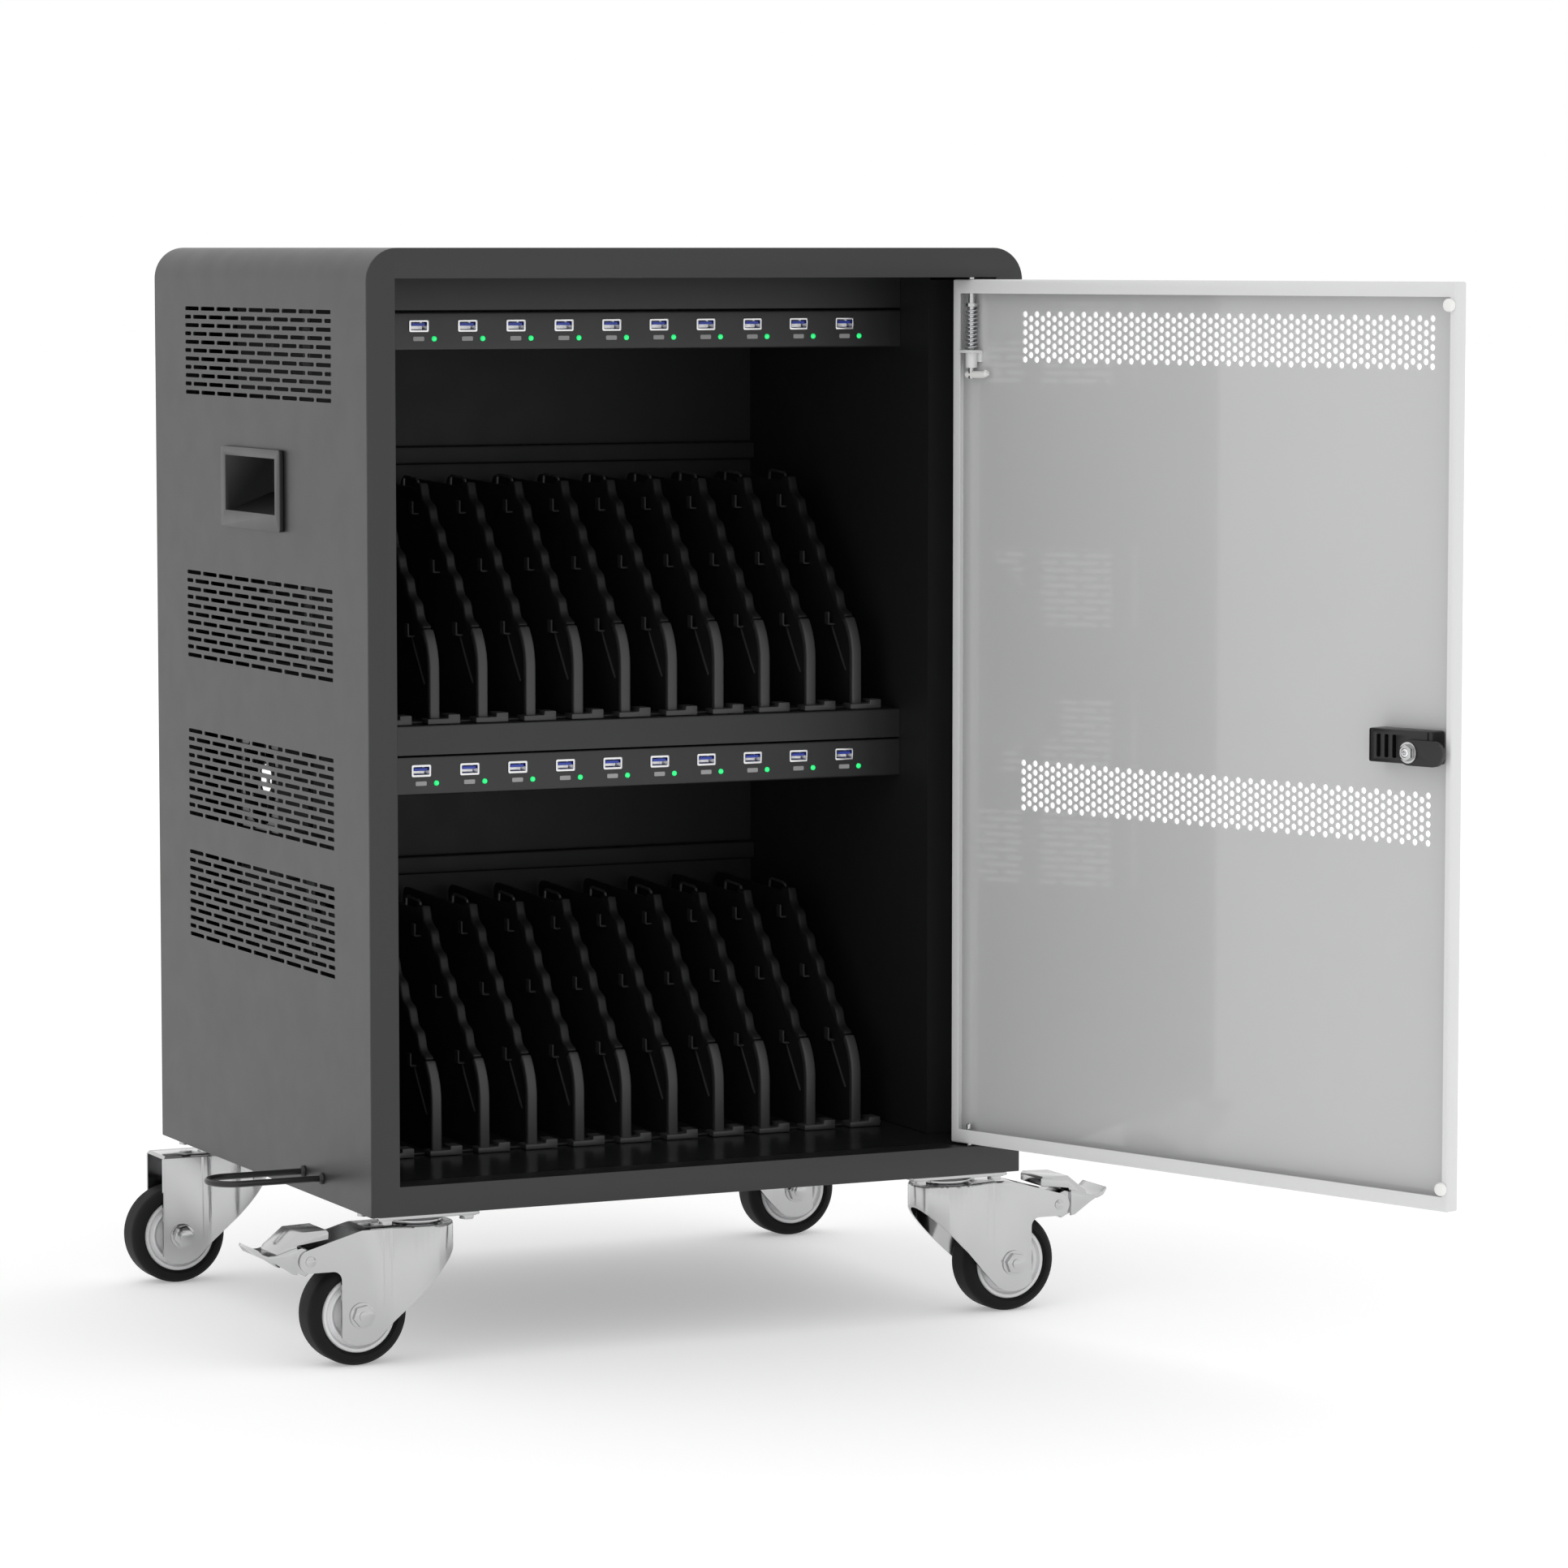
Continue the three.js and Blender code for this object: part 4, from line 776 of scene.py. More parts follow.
SOCKET_STEEL = Finish(
    "socket_frame", "board", (0.8, 0.8, 0.81),
    vary=0.05, gloss=(0.2, 0.3), skin=Skin.PLATED, bump=0.02, metallic=1.0,
)
SOCKET_BLUE = Finish("socket_tongue", "board", (0.03, 0.06, 0.42), 0.08, (0.3, 0.4))
BOARD_GREEN = Finish("circuit_board", "board", (0.012, 0.035, 0.016), 0.2, (0.35, 0.5))
LAMP_GREEN = Finish("lamp_lens", "board", (0.02, 0.62, 0.16), 0.05, (0.15, 0.25), glow=1.1)
SOCKET_MARK = Finish("socket_mark", "board", (0.36, 0.36, 0.36), 0.3, (0.5, 0.6))
RACK_MOULDING = Finish(
    "rack_moulding", "black", (0.0125, 0.0125, 0.0127),
    vary=0.06, gloss=(0.46, 0.55), bump=0.05, specular=0.3,
)
# A lighter copy of the rack moulding: painted light on the dividers' stems, feet, clips, ribs and
# loops.
RACK_LIT_COPY = Finish("rack_moulding_painted_light", "black", (0.038, 0.038, 0.0384), 0.06, (0.38, 0.46), bump=0.04)
# The fan's hub cap is white, and its glow is a painted highlight: a fan cap is no lamp.
GLOWING_FAN_CAP = Finish("fan_cap_painted_glow", "bumper", (0.88, 0.88, 0.87), 0.02, (0.3, 0.4), glow=0.9)


def dress(piece: Piece, finish: Finish, body: str, *nodes: str) -> Piece:
    """Gives a finished piece its material, its body and the solids it stands for.

    Args:
        piece: the finished piece.
        finish: its surface.
        body: the body that it moves with.
        *nodes: solids that it stands for.

    Returns:
        The same piece.
    """
    piece.data.materials.clear()
    piece.data.materials.append(finish.material())
    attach(piece, body)
    if nodes:
        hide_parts(*nodes)
    log.info("%s: %d faces on %s", piece.name, len(piece.data.polygons), body)
    return piece


def repaint(frame: dict, finish: Finish, *nodes: str) -> None:
    """Gives solids that stay in view a better material.

    Args:
        frame: the loaded model.
        finish: the material's finish.
        *nodes: the solids' names.
    """
    for node in nodes:
        mesh = frame["nodes"][node].data
        mesh.materials.clear()
        mesh.materials.append(finish.material())


def folded(path: Sequence[Pair], thickness: float, bend: float, steps: int = 4) -> list[Pair]:
    """The section of a folded sheet.

    Args:
        path: corners of the sheet's middle line, in order.
        thickness: the sheet's thickness.
        bend: radius of the middle line at each fold.
        steps: facets of a fold.

    Returns:
        The section's closed outline.
    """
    line: list[Vector] = [Vector(path[0])]
    for before, corner, after in zip(path, path[1:], path[2:]):
        here = Vector(corner)
        back, ahead = (Vector(before) - here).normalized(), (Vector(after) - here).normalized()
        reach = bend / math.tan(back.angle(ahead) / 2)
        first, last = here + back * reach, here + ahead * reach
        for i in range(steps + 1):
            t = i / steps
            line.append(first.lerp(here, t).lerp(here.lerp(last, t), t))
    line.append(Vector(path[-1]))
    left, right = [], []
    for i, point in enumerate(line):
        run = (line[min(i + 1, len(line) - 1)] - line[max(i - 1, 0)]).normalized()
        side = Vector((-run.y, run.x)) * thickness / 2
        left.append(tuple(point + side))
        right.append(tuple(point - side))
    return left + right[::-1]


# The cabinet


@dataclass
class Vents:
    """A field of staggered slots.

    Attributes:
        columns: slots in a long row.
        rows: rows in the field.
        length: length of a slot.
        height: height of a slot.
        pitch: from one slot to the next.
        rise: from one row to the next.
        half: half the width of the field.
    """

    columns: int = 9
    rows: int = 11
    length: float = 32.4
    height: float = 3.2
    pitch: float = 36.9
    rise: float = 6.7
    half: float = 164.5

    def slot(self, begin: float, end: float, z: float, axis: Axis, reach: Pair) -> Piece:
        """One slot's cutter.

        Args:
            begin: where the slot begins.
            end: where it ends.
            z: its height.
            axis: the direction that it is cut along.
            reach: where the cut begins and ends along that axis.

        Returns:
            The cutter.
        """
        r = self.height / 2
        outline = [*arc(end - r, z, r, -90, 90, 4), *arc(begin + r, z, r, 90, 270, 4)]
        return add_plate("slot", outline, axis, *reach)

    def cutters(self, middle: float, axis: Axis, reach: Pair) -> list[Piece]:
        """The cutters of one field.

        Args:
            middle: height of the field's middle.
            axis: the direction that the slots are cut along.
            reach: where the cuts begin and end along that axis.

        Returns:
            Three cutters: the long rows, the short rows and the half slots at their ends.
        """
        across = Vector((0, 1, 0)) if axis is Axis.X else Vector((1, 0, 0))
        low = middle - self.rise * (self.rows - 1) / 2
        high = low + self.rise
        start = -self.pitch * (self.columns - 1) / 2 - self.length / 2
        begin = start + self.pitch / 2
        gap = self.pitch - self.length
        step = across * self.pitch
        far = across * (self.half + begin - gap) * -1 + across * 2 * self.half
        rows = self.rows // 2
        made = []
        for first, last, z, columns, along, up in (
            (start, start + self.length, low, self.columns, step, rows + 1),
            (begin, begin + self.length, high, self.columns - 1, step, rows),
            (-self.half, begin - gap, high, 2, far, rows),
        ):
            row = row_of(self.slot(first, last, z, axis, reach), columns, along)
            made.append(row_of(row, up, (0, 0, 2 * self.rise)))
        return made


SCREW_DOME = [(0, 1.7), (1.4, 1.65), (2.8, 1.3), (3.7, 0.6), (4.0, -0.1), (0, -0.1)]
SCREW_RECESS = ((2.0, 0.45), (0.45, 2.0))
LOOP_COLLAR = [(0, -3.0), (3.2, -3.0), (4.4, -1.6), (4.6, -0.1), (0, -0.1)]
FAN_HUB = [(0, -16.5), (13.5, -16.5), (16, -14), (16, 0), (0, 0)]
FAN_DISC = [(0, -17.0), (10.5, -17.0), (11.5, -16.6), (11.5, -16.3), (0, -16.3)]


@dataclass
class Shell:
    """The cabinet's outer sheets, handles, loop and fan.

    Attributes:
        half_width: half the cabinet's width.
        half_depth: half its depth.
        height: its height without the casters.
        sheet: thickness of the wrap.
        plate: thickness of the front frame and the rear wall.
        bend: outer radius of the two long bends.
        frame_face: width of the front frame's face.
        sill: height of the doorway's lower edge.
        jamb: depth of the return round the doorway.
        hinge: place of the door's hinge axis.
        hinge_hole: radius of the holes for the hinge pins.
        vent_heights: heights of the vent fields' middles.
        past: how far a cutter stands out past a side.
        grip_middle: middle of the handles along the depth.
        grip_half: half the length of a pocket.
        grip_low: lower edge of a pocket.
        grip_high: upper edge of a pocket.
        grip_end: where the left pocket ends inside.
        grip_climb: how far a pocket's floor climbs.
        grip_gap: room between a pocket and the hole in the side.
        grip_proud: how far a bezel stands out from the side.
        grip_wall: wall of a pocket.
        grip_rim: a bezel's width at its ends, below and above.
        loop_place: the loop's middle along the depth and in height.
        loop_radius: radius of its round end.
        loop_reach: how far it stands out.
        loop_wire: radius of its wire.
        fan_place: middle of the fan's inner face.
        blades: blades of the fan.
        blade_run: depth of a blade's ends behind the fan's inner face.
        inlet: place of the mains inlet.
        inlet_half: half the size of its cut-out.
        screw_inset: the rear screws from the edges.
        screw_heights: heights of the side rows of screws.
        clear: room between two pieces that meet.
        vents: the pattern of a vent field.
    """

    half_width: float = 275.0
    half_depth: float = 238.0
    height: float = 730.0
    sheet: float = 1.2
    plate: float = 1.5
    bend: float = 25.0
    frame_face: float = 23.0
    sill: float = 22.5
    jamb: float = 25.0
    hinge: Pair = (234.0, -231.0)
    hinge_hole: float = 2.9
    vent_heights: tuple[float, ...] = (209.0, 307.5, 436.0, 648.0)
    past: float = 5.0
    grip_middle: float = 6.5
    grip_half: float = 55.5
    grip_low: float = 523.5
    grip_high: float = 567.0
    grip_end: float = -239.0
    grip_climb: float = 13.5
    grip_gap: float = 1.8
    grip_proud: float = 3.8
    grip_wall: float = 1.5
    grip_rim: Triple = (11.0, 13.0, 7.0)
    loop_place: Pair = (-113.0, 16.0)
    loop_radius: float = 20.0
    loop_reach: float = 85.0
    loop_wire: float = 2.5
    fan_place: Triple = (-251.8, 2.0, 314.0)
    blades: int = 7
    blade_run: Pair = (15.0, 2.0)
    inlet: Pair = (190.0, 52.0)
    inlet_half: Pair = (15.8, 12.3)
    screw_inset: float = 12.0
    screw_heights: tuple[float, ...] = (40.0, 257.0, 473.0, 690.0)
    clear: float = 0.3
    vents: Vents = field(default_factory=Vents)

    def outline(self, steps: int = 12) -> list[Pair]:
        """The cabinet seen from the front.

        Args:
            steps: facets of a bend.

        Returns:
            The outline's corners.
        """
        w, top, r = self.half_width, self.height, self.bend
        return [
            (-w, 0.0),
            (w, 0.0),
            *arc(w - r, top - r, r, 0, 90, steps),
            *arc(-w + r, top - r, r, 90, 180, steps),
        ]

    def build_wrap(self) -> Piece:
        """The sides and the top, bent from one sheet, with all their vents.

        Returns:
            The dressed piece.
        """
        inner_w, top, r = self.half_width - self.sheet, self.height, self.bend
        inner_r = r - self.sheet
        inside = [
            (inner_w, 0.0),
            *arc(self.half_width - r, top - r, inner_r, 0, 90, 12),
            *arc(-self.half_width + r, top - r, inner_r, 90, 180, 12),
            (-inner_w, 0.0),
        ]
        outside = self.outline()
        section = [*outside[1:], outside[0], *inside[::-1]]
        front, back = -self.half_depth + self.plate, self.half_depth - self.plate
        wrap = add_plate("outer_wrap", section, Axis.Y, front, back)
        reach = (-self.half_width - 4 * self.past, self.half_width + 4 * self.past)
        cutters = [c for z in self.vent_heights for c in self.vents.cutters(z, Axis.X, reach)]
        y, half, gap = self.grip_middle, self.grip_half + self.grip_gap, self.grip_gap
        hole = rectangle(y - half, y + half, self.grip_low - gap, self.grip_high + gap)
        cutters.append(add_plate("grip_hole", hole, Axis.X, *reach))
        carve(wrap, *cutters)
        smooth(wrap, 30)
        nodes = ("left_side_panel", "right_side_panel", "top_cover")
        return dress(wrap, GRAPHITE_COAT, "cabinet", *nodes)

    def build_front(self) -> Piece:
        """The front frame: its face, and the return round the doorway with the hinge holes.

        Returns:
            The dressed piece.
        """
        open_x, open_top = self.half_width - self.frame_face, self.height - self.frame_face
        face_y = -self.half_depth
        frame = add_plate("front_surround", self.outline(16), Axis.Y, face_y, face_y + self.plate)
        p = self.plate
        rim = rectangle(-open_x - p, open_x + p, self.sill - p, open_top + p)
        weld(frame, add_plate("return", rim, Axis.Y, face_y + p / 2, face_y + self.jamb))
        doorway = rectangle(-open_x, open_x, self.sill, open_top)
        through = (face_y - self.past, face_y + self.jamb + self.past)
        carve(frame, add_plate("doorway", doorway, Axis.Y, *through))
        soften(frame, 0.6, 3, 60)
        holes = [
            add_plate("hole", disc(*self.hinge, self.hinge_hole, 24), Axis.Z, z - 3, z + 3)
            for z in (self.sill - p / 2, open_top + p / 2)
        ]
        carve(frame, *holes)
        return dress(smooth(frame), GRAPHITE_COAT, "cabinet", "front_frame")

    def build_back(self) -> Piece:
        """The rear wall with its vents and the inlet's cut-out.

        Returns:
            The dressed piece.
        """
        y0, y1 = self.half_depth - self.plate, self.half_depth
        wall = add_plate("rear_wall", self.outline(16), Axis.Y, y0, y1)
        soften(wall, 0.5, 2, 60)
        (x, z), (u, v) = self.inlet, self.inlet_half
        through = (y0 - self.past, y1 + self.past)
        cutters = self.vents.cutters(self.vent_heights[0], Axis.Y, through)
        hole = rectangle(x - u, x + u, z - v, z + v)
        cutters.append(add_plate("hole", hole, Axis.Y, *through))
        carve(wall, *cutters)
        return dress(smooth(wall), GRAPHITE_COAT, "cabinet", "back_panel")

    def build_screws(self) -> Piece:
        """The pan-headed screws that hold the rear wall.

        Returns:
            The dressed piece, all screws together.
        """
        screw = smooth(add_turned("screw", SCREW_DOME, Axis.Y, (0, self.half_depth, 0), 24))
        top = self.half_depth + 2
        for half_x, half_z in SCREW_RECESS:
            carve(screw, add_box("recess", (-half_x, top - 1.4, -half_z), (half_x, top, half_z)))
        edge = self.half_width - self.screw_inset
        places = [(x, z) for x in (-edge, edge) for z in self.screw_heights]
        places += [(0.0, self.screw_inset), (0.0, self.height - self.screw_inset)]
        copies = [twin(screw, "screw", shift(x, 0, z)) for x, z in places]
        bpy.data.objects.remove(screw)
        return dress(smooth(fuse("rear_screws", *copies)), DARK_WIRE, "cabinet")

    def build_grips(self) -> list[Piece]:
        """The two recessed handles, each a bezel with a pocket whose floor climbs inwards.

        Returns:
            The dressed pieces, left and right.
        """
        wall = -self.half_width
        face = wall - self.grip_proud
        y0, y1 = self.grip_middle - self.grip_half, self.grip_middle + self.grip_half
        low, high, w = self.grip_low, self.grip_high, self.grip_wall
        ends, below, above = self.grip_rim
        rim = rounded(y0 - ends, y1 + ends, low - below, high + above, 2.5)
        bezel = add_plate("left_grip", rim, Axis.X, face, wall - self.clear)
        cup = ((face + w, y0 - w, low - w), (self.grip_end + w, y1 + w, high + w))
        weld(bezel, add_box("cup", *cup))
        pocket = [
            (face - 2, low),
            (wall, low),
            (self.grip_end, low + self.grip_climb),
            (self.grip_end, high),
            (face - 2, high),
        ]
        carve(bezel, add_plate("pocket", pocket, Axis.Y, y0, y1))
        soften(bezel, 0.5, 2, 50)
        right = twin(bezel, "right_grip", Matrix.Scale(-1, 4, Vector((1, 0, 0))))
        clean(right)
        return [
            dress(bezel, GRAPHITE_COAT, "cabinet", "left_handle"),
            dress(smooth(right), GRAPHITE_COAT, "cabinet", "right_handle"),
        ]

    def build_loop(self) -> Piece:
        """The wire loop low on the left side, with a collar on each end.

        Returns:
            The dressed piece.
        """
        wall, radius = -self.half_width - self.clear, self.loop_radius
        y, z = self.loop_place
        turn = arc(wall - self.loop_reach + radius, y, radius, 90, 270, 18)
        ends = [(wall - 1, y + radius, z), (wall - 1, y - radius, z)]
        path = [ends[0], *((u, v, z) for u, v in turn), ends[1]]
        wire = add_wire("tie_loop", path, self.loop_wire)
        feet = [
            smooth(add_turned("foot", LOOP_COLLAR, Axis.X, (wall, y + side, z), 24))
            for side in (-radius, radius)
        ]
        return dress(smooth(fuse("tie_loop", wire, *feet)), DARK_WIRE, "cabinet", "side_loop")

    def build_fan(self) -> list[Piece]:
        """The fan's hub with swept blades, and the white cap on its hub, whose glow is a painted
        highlight.

        Returns:
            The dressed pieces.
        """
        inner, y, z = self.fan_place
        hub = add_turned("fan_blades", FAN_HUB, Axis.X, self.fan_place, 40)
        swept = folded([(13 + 23 * i / 6, -10 - 9 * (i / 6) ** 1.4) for i in range(7)], 1.3, 1.0, 1)
        deep, shallow = self.blade_run
        for i in range(self.blades):
            turn = Matrix.Rotation(2 * math.pi * i / self.blades, 4, "X")
            blade = add_plate("blade", swept, Axis.X, inner - deep, inner - shallow)
            soften(blade, 0.4, 1, 60)
            blade.matrix_world = shift(0, y, z) @ turn
            settle(blade, "blade")
            hub = fuse("fan_blades", hub, blade)
        cap = add_turned("fan_cap_painted_glow", FAN_DISC, Axis.X, self.fan_place, 36)
        return [
            dress(smooth(hub), BLACK_MOULDING, "fan", "fan_rotor"),
            dress(smooth(cap), GLOWING_FAN_CAP, "fan"),
        ]

    def build(self) -> list[Piece]:
        """Builds every outer piece of the cabinet."""
        made = [self.build_wrap(), self.build_front(), self.build_back(), self.build_screws()]
        return [*made, *self.build_grips(), self.build_loop(), *self.build_fan()]


# What the cabinet holds


# Sections of a divider's foot, rib and crest loop
FOOT = [(-7.2, 0.0), (20.0, 0.0), (20.0, 7.4), (10.0, 7.4), (10.0, 4.2), (-7.2, 4.2)]
RIB = [(-1.6, -60.0, 66.0), (-1.9, -66.0, 58.0), (-1.9, -84.0, 34.0), (-1.6, -87.0, 30.0)]
CREST_LOOP = [
    (12.0, -8.0),
    (12.0, -1.0),
    (13.0, 1.6),
    (16.0, 3.0),
    (40.0, 4.2),
    (43.0, 3.0),
    (44.0, -6.0),
]


@dataclass
class Divider:
    """One upright between two bays, in (y, height) from the deck.

    Attributes:
        front: front edge.
        back: rear edge.
        stem: straight part of the front edge.
        height: height of the crest.
        bend: radius where the front edge leans back.
        lean: slope of the upper edge from upright, in degrees.
        web: thickness of the web.
        bead: width of the stem along the front edge.
        stem_depth: depth of that stem.
        scallops: cable rests along the slope.
        dip: depth of a scallop.
        comb_depth: depth of the scalloped comb.
        comb_start: where the comb begins along the slope.
        ridge: length of the comb's end along the crest.
        corner: radius of the upper rear corner.
        foot_run: the foot's ends before and behind the front edge.
        clip_places: where the cable clips are along the slope.
        clip_drop: the clips' depth under the slope.
        clip_size: how far a clip stands out, half its height and half its width.
    """

    front: float = -104.0
    back: float = 168.0
    stem: float = 41.0
    height: float = 182.0
    bend: float = 46.0
    lean: float = 45.0
    web: float = 3.0
    bead: float = 8.5
    stem_depth: float = 6.0
    scallops: int = 6
    dip: float = 4.5
    comb_depth: float = 8.5
    comb_start: float = 0.01
    ridge: float = 13.0
    corner: float = 8.0
    foot_run: Pair = (3.5, 12.5)
    clip_places: Triple = (0.12, 0.553, 0.963)
    clip_drop: float = 22.0
    clip_size: Triple = (6.5, 5.0, 3.5)

    def edge(self, inset: float, steps: int = 10) -> list[Pair]:
        """The front edge, straight and then bent back.

        Args:
            inset: how far inside the true edge it runs.
            steps: facets of the bend.

        Returns:
            Its points from the deck upwards.
        """
        middle, radius = self.front + self.bend, self.bend - inset
        bend = arc(middle, self.stem, radius, 180, 180 - self.lean, steps)
        return [(self.front + inset, 0.0), *bend]

    def slope_point(self, t: float, lift: float) -> Pair:
        """A point on the sloping edge.

        Args:
            t: 0 where the slope begins, 1 at the crest.
            lift: distance above the slope.

        Returns:
            Its y and height.
        """
        y0, z0 = self.edge(0)[-1]
        rise = self.height - z0
        lean = math.radians(self.lean)
        run = rise * math.tan(lean)
        return (y0 + run * t - lift * math.cos(lean), z0 + rise * t + lift * math.sin(lean))

    def build(self, name: str) -> tuple[Piece, int]:
        """The divider at x = 0, standing on height 0.

        Args:
            name: the piece's name.

        Returns:
            The undressed piece, and how many of its first faces are the web and comb, whose darker
            tone is painted shade.
        """
        web, comb, wide = self.build_web(name), self.build_comb(), self.bead / 2
        outline = [*self.edge(0), *self.edge(self.stem_depth)[::-1]]
        stem = soften(add_plate("stem", outline, Axis.X, -wide, wide), 1.4, 3, 60)
        ahead, behind = self.foot_run
        foot = add_plate("foot", FOOT, Axis.Y, self.front - ahead, self.front + behind)
        soften(foot, 0.8, 2, 60)
        dark = len(web.data.polygons) + len(comb.data.polygons)
        pieces = [web, comb, stem, foot, *self.clips(), self.rib(), self.crest_loop()]
        return smooth(fuse(name, *pieces)), dark

    def build_web(self, name: str) -> Piece:
        """The thin upright web.

        Args:
            name: the piece's name.

        Returns:
            The web, its front and its slope a little behind the stem and the comb.
        """
        half, r, under = self.web / 2, self.corner, -self.dip - 2
        slope = [self.slope_point(0.04, under), self.slope_point(1, under)]
        top = arc(self.back - r, self.height - r, r, 90, 0, 4)
        outline = [*self.edge(2.0), *slope, *top, (self.back, 0.0)]
        return soften(add_plate(name, outline, Axis.X, -half, half), 0.5, 1, 60)

    def build_comb(self) -> Piece:
        """The scalloped comb along the slope, which ends on the crest.

        Returns:
            The comb.
        """
        steps, begin = self.scallops * 6, self.comb_start
        slope = []
        for i in range(steps + 1):
            wave = math.sin(math.pi * self.scallops * i / steps) ** 2
            slope.append(self.slope_point(begin + (1 - begin) * i / steps, -self.dip * wave))
        y, z = slope[-1]
        end = [(y + self.ridge, z), (y + self.ridge, z - 6)]
        inner = [self.slope_point(t, -self.comb_depth) for t in (0.95, begin)]
        wide = self.bead / 2 - 0.5
        comb = add_plate("comb", [*slope, *end, *inner], Axis.X, -wide, wide)
        return soften(comb, 1.4, 3, 60)

    def clips(self) -> list[Piece]:
        """Cable clips on the web's left face: a tab that stands out and turns up.

        Returns:
            The clips.
        """
        made = []
        out, tall, wide = self.clip_size
        for t in self.clip_places:
            y, z = self.slope_point(t, -self.clip_drop)
            section = folded([(-1.0, z - tall), (-out, z - tall), (-out, z + tall)], 1.4, 1.2, 3)
            clip = add_plate("clip", section, Axis.Y, y - wide, y + wide)
            made.append(soften(clip, 0.3, 1, 60))
        return made

    def rib(self) -> Piece:
        """The oblique stiffening rib low on the web's left face."""
        return add_wire("rib", RIB, 0.9, 1)

    def crest_loop(self) -> Piece:
        """The low cable loop along the crest, both its ends in the web."""
        y, z = self.slope_point(1, 0)
        return add_wire("crest_loop", [(0.0, y + u, z + v) for u, v in CREST_LOOP], 1.2, 1)


LAMP_LENS = [(0, -0.9), (1.2, -0.75), (2.0, 0.0), (2.0, 16.0), (0, 16.0)]


@dataclass
class Interior:
    """The shelf, strips, sockets and dividers, and the rails on the rear wall.

    Attributes:
        span: half the width between the inner walls.
        rack_front: face of the apron and the strips.
        partition: face of the rear wall.
        floor: height of the lower deck.
        deck: height of the middle shelf.
        apron: height of the shelf's apron.
        sheet: thickness of the folded sheets.
        fold_radius: radius of their folds.
        shelf_lip: height of the shelf's rear lip.
        strip_height: height of a charging strip.
        strip_depth: depth of a charging strip.
        upper_strip: upper edge of the upper strip.
        lower_strip: upper edge of the lower strip.
        header_low: lower edge of the plate over the upper strip.
        header_high: upper edge of that plate.
        header_depth: depth of that plate's upper fold.
        ports: sockets on a strip.
        pitch: from one socket or divider to the next.
        first_port: place of the first socket.
        port_drop: the sockets below a strip's upper edge.
        port_hole: half the size of a socket's hole in the strip.
        port_shell: half the size of a socket's metal shell.
        port_lip: half the size of that shell's lip.
        port_mouth: half the size of the socket's mouth.
        shell_run: front and rear end of a shell, from the strip's face.
        lip_run: front and rear end of its lip.
        mouth_run: front and rear end of its mouth.
        tongue_low: lower corner of a socket's tongue, from the socket's middle.
        tongue_high: upper corner of that tongue.
        lamp_right: a lamp from its socket.
        lamp_drop: the lamps below a strip's upper edge.
        lamp_hole: radius of a lamp's hole.
        mark: half the size of a blank mark.
        mark_run: front and rear end of a mark.
        board_run: front and rear face of the circuit board.
        board_drop: upper and lower edge of the board, below the strip's upper edge.
        dividers: dividers on a shelf.
        first_divider: place of the first divider.
        tray: thickness of the tray under the dividers.
        tray_margin: the tray's ends before the first and after the last divider.
        tray_setback: the tray behind the dividers' front edge.
        clear: room between two pieces that meet.
        rail_top: upper edge of a rear rail, from the shelf.
        rail_height: height of that rail.
        rail_depth: how far it stands out.
        divider: the pattern of a divider.
    """

    span: float = 231.7
    rack_front: float = -110.0
    partition: float = 174.7
    floor: float = 22.5
    deck: float = 361.0
    apron: float = 23.0
    sheet: float = 1.2
    fold_radius: float = 1.4
    shelf_lip: float = 11.0
    strip_height: float = 30.0
    strip_depth: float = 40.0
    upper_strip: float = 681.0
    lower_strip: float = 336.8
    header_low: float = 682.2
    header_high: float = 728.5
    header_depth: float = 22.0
    ports: int = 10
    pitch: float = 40.5
    first_port: float = -182.25
    port_drop: float = 11.0
    port_hole: Pair = (7.8, 4.3)
    port_shell: Pair = (7.5, 4.0)
    port_lip: Pair = (8.1, 4.7)
    port_mouth: Pair = (6.6, 3.1)
    shell_run: Pair = (-0.3, 15.0)
    lip_run: Pair = (-0.9, -0.05)
    mouth_run: Pair = (-3.0, 10.0)
    tongue_low: Triple = (-5.6, 0.4, -0.1)
    tongue_high: Triple = (5.6, 11.0, 2.0)
    lamp_right: float = 13.0
    lamp_drop: float = 21.0
    lamp_hole: float = 2.3
    mark: Pair = (4.6, 1.7)
    mark_run: Pair = (-0.15, 0.1)
    board_run: Pair = (15.0, 18.0)
    board_drop: Pair = (1.5, 28.5)
    dividers: int = 11
    first_divider: float = -208.5
    tray: float = 1.8
    tray_margin: Pair = (7.5, 28.0)
    tray_setback: float = 8.0
    clear: float = 0.3
    rail_top: float = 206.0
    rail_height: float = 14.0
    rail_depth: float = 6.0
    divider: Divider = field(default_factory=Divider)

    def fold(self, name: str, path: Sequence[Pair]) -> Piece:
        """A folded sheet across the cabinet's inside.

        Args:
            name: the piece's name.
            path: corners of its middle line in (y, z).

        Returns:
            The undressed piece.
        """
        section = folded(path, self.sheet, self.fold_radius)
        return smooth(add_plate(name, section, Axis.X, -self.span, self.span))

    def build_sheets(self) -> list[Piece]:
        """The middle shelf with its apron and the plate over the upper strip.

        Returns:
            The dressed pieces.
        """
        half = self.sheet / 2
        face, top, back = self.rack_front + half, self.deck - half, self.partition - half
        low = self.deck - self.apron
        corners = [(face, low), (face, top), (back, top), (back, top - self.shelf_lip)]
        shelf = self.fold("shelf_deck", corners)
        roof = self.header_high - half
        corners = [(face, self.header_low), (face, roof), (face + self.header_depth, roof)]
        header = self.fold("header", corners)
        return [
            dress(shelf, GRAPHITE_COAT, "cabinet", "middle_shelf"),
            dress(header, GRAPHITE_COAT, "cabinet", "header_plate"),
        ]

    def along(self, run: Pair) -> Pair:
        """A run in depth, counted from the strips' face."""
        return self.rack_front + run[0], self.rack_front + run[1]

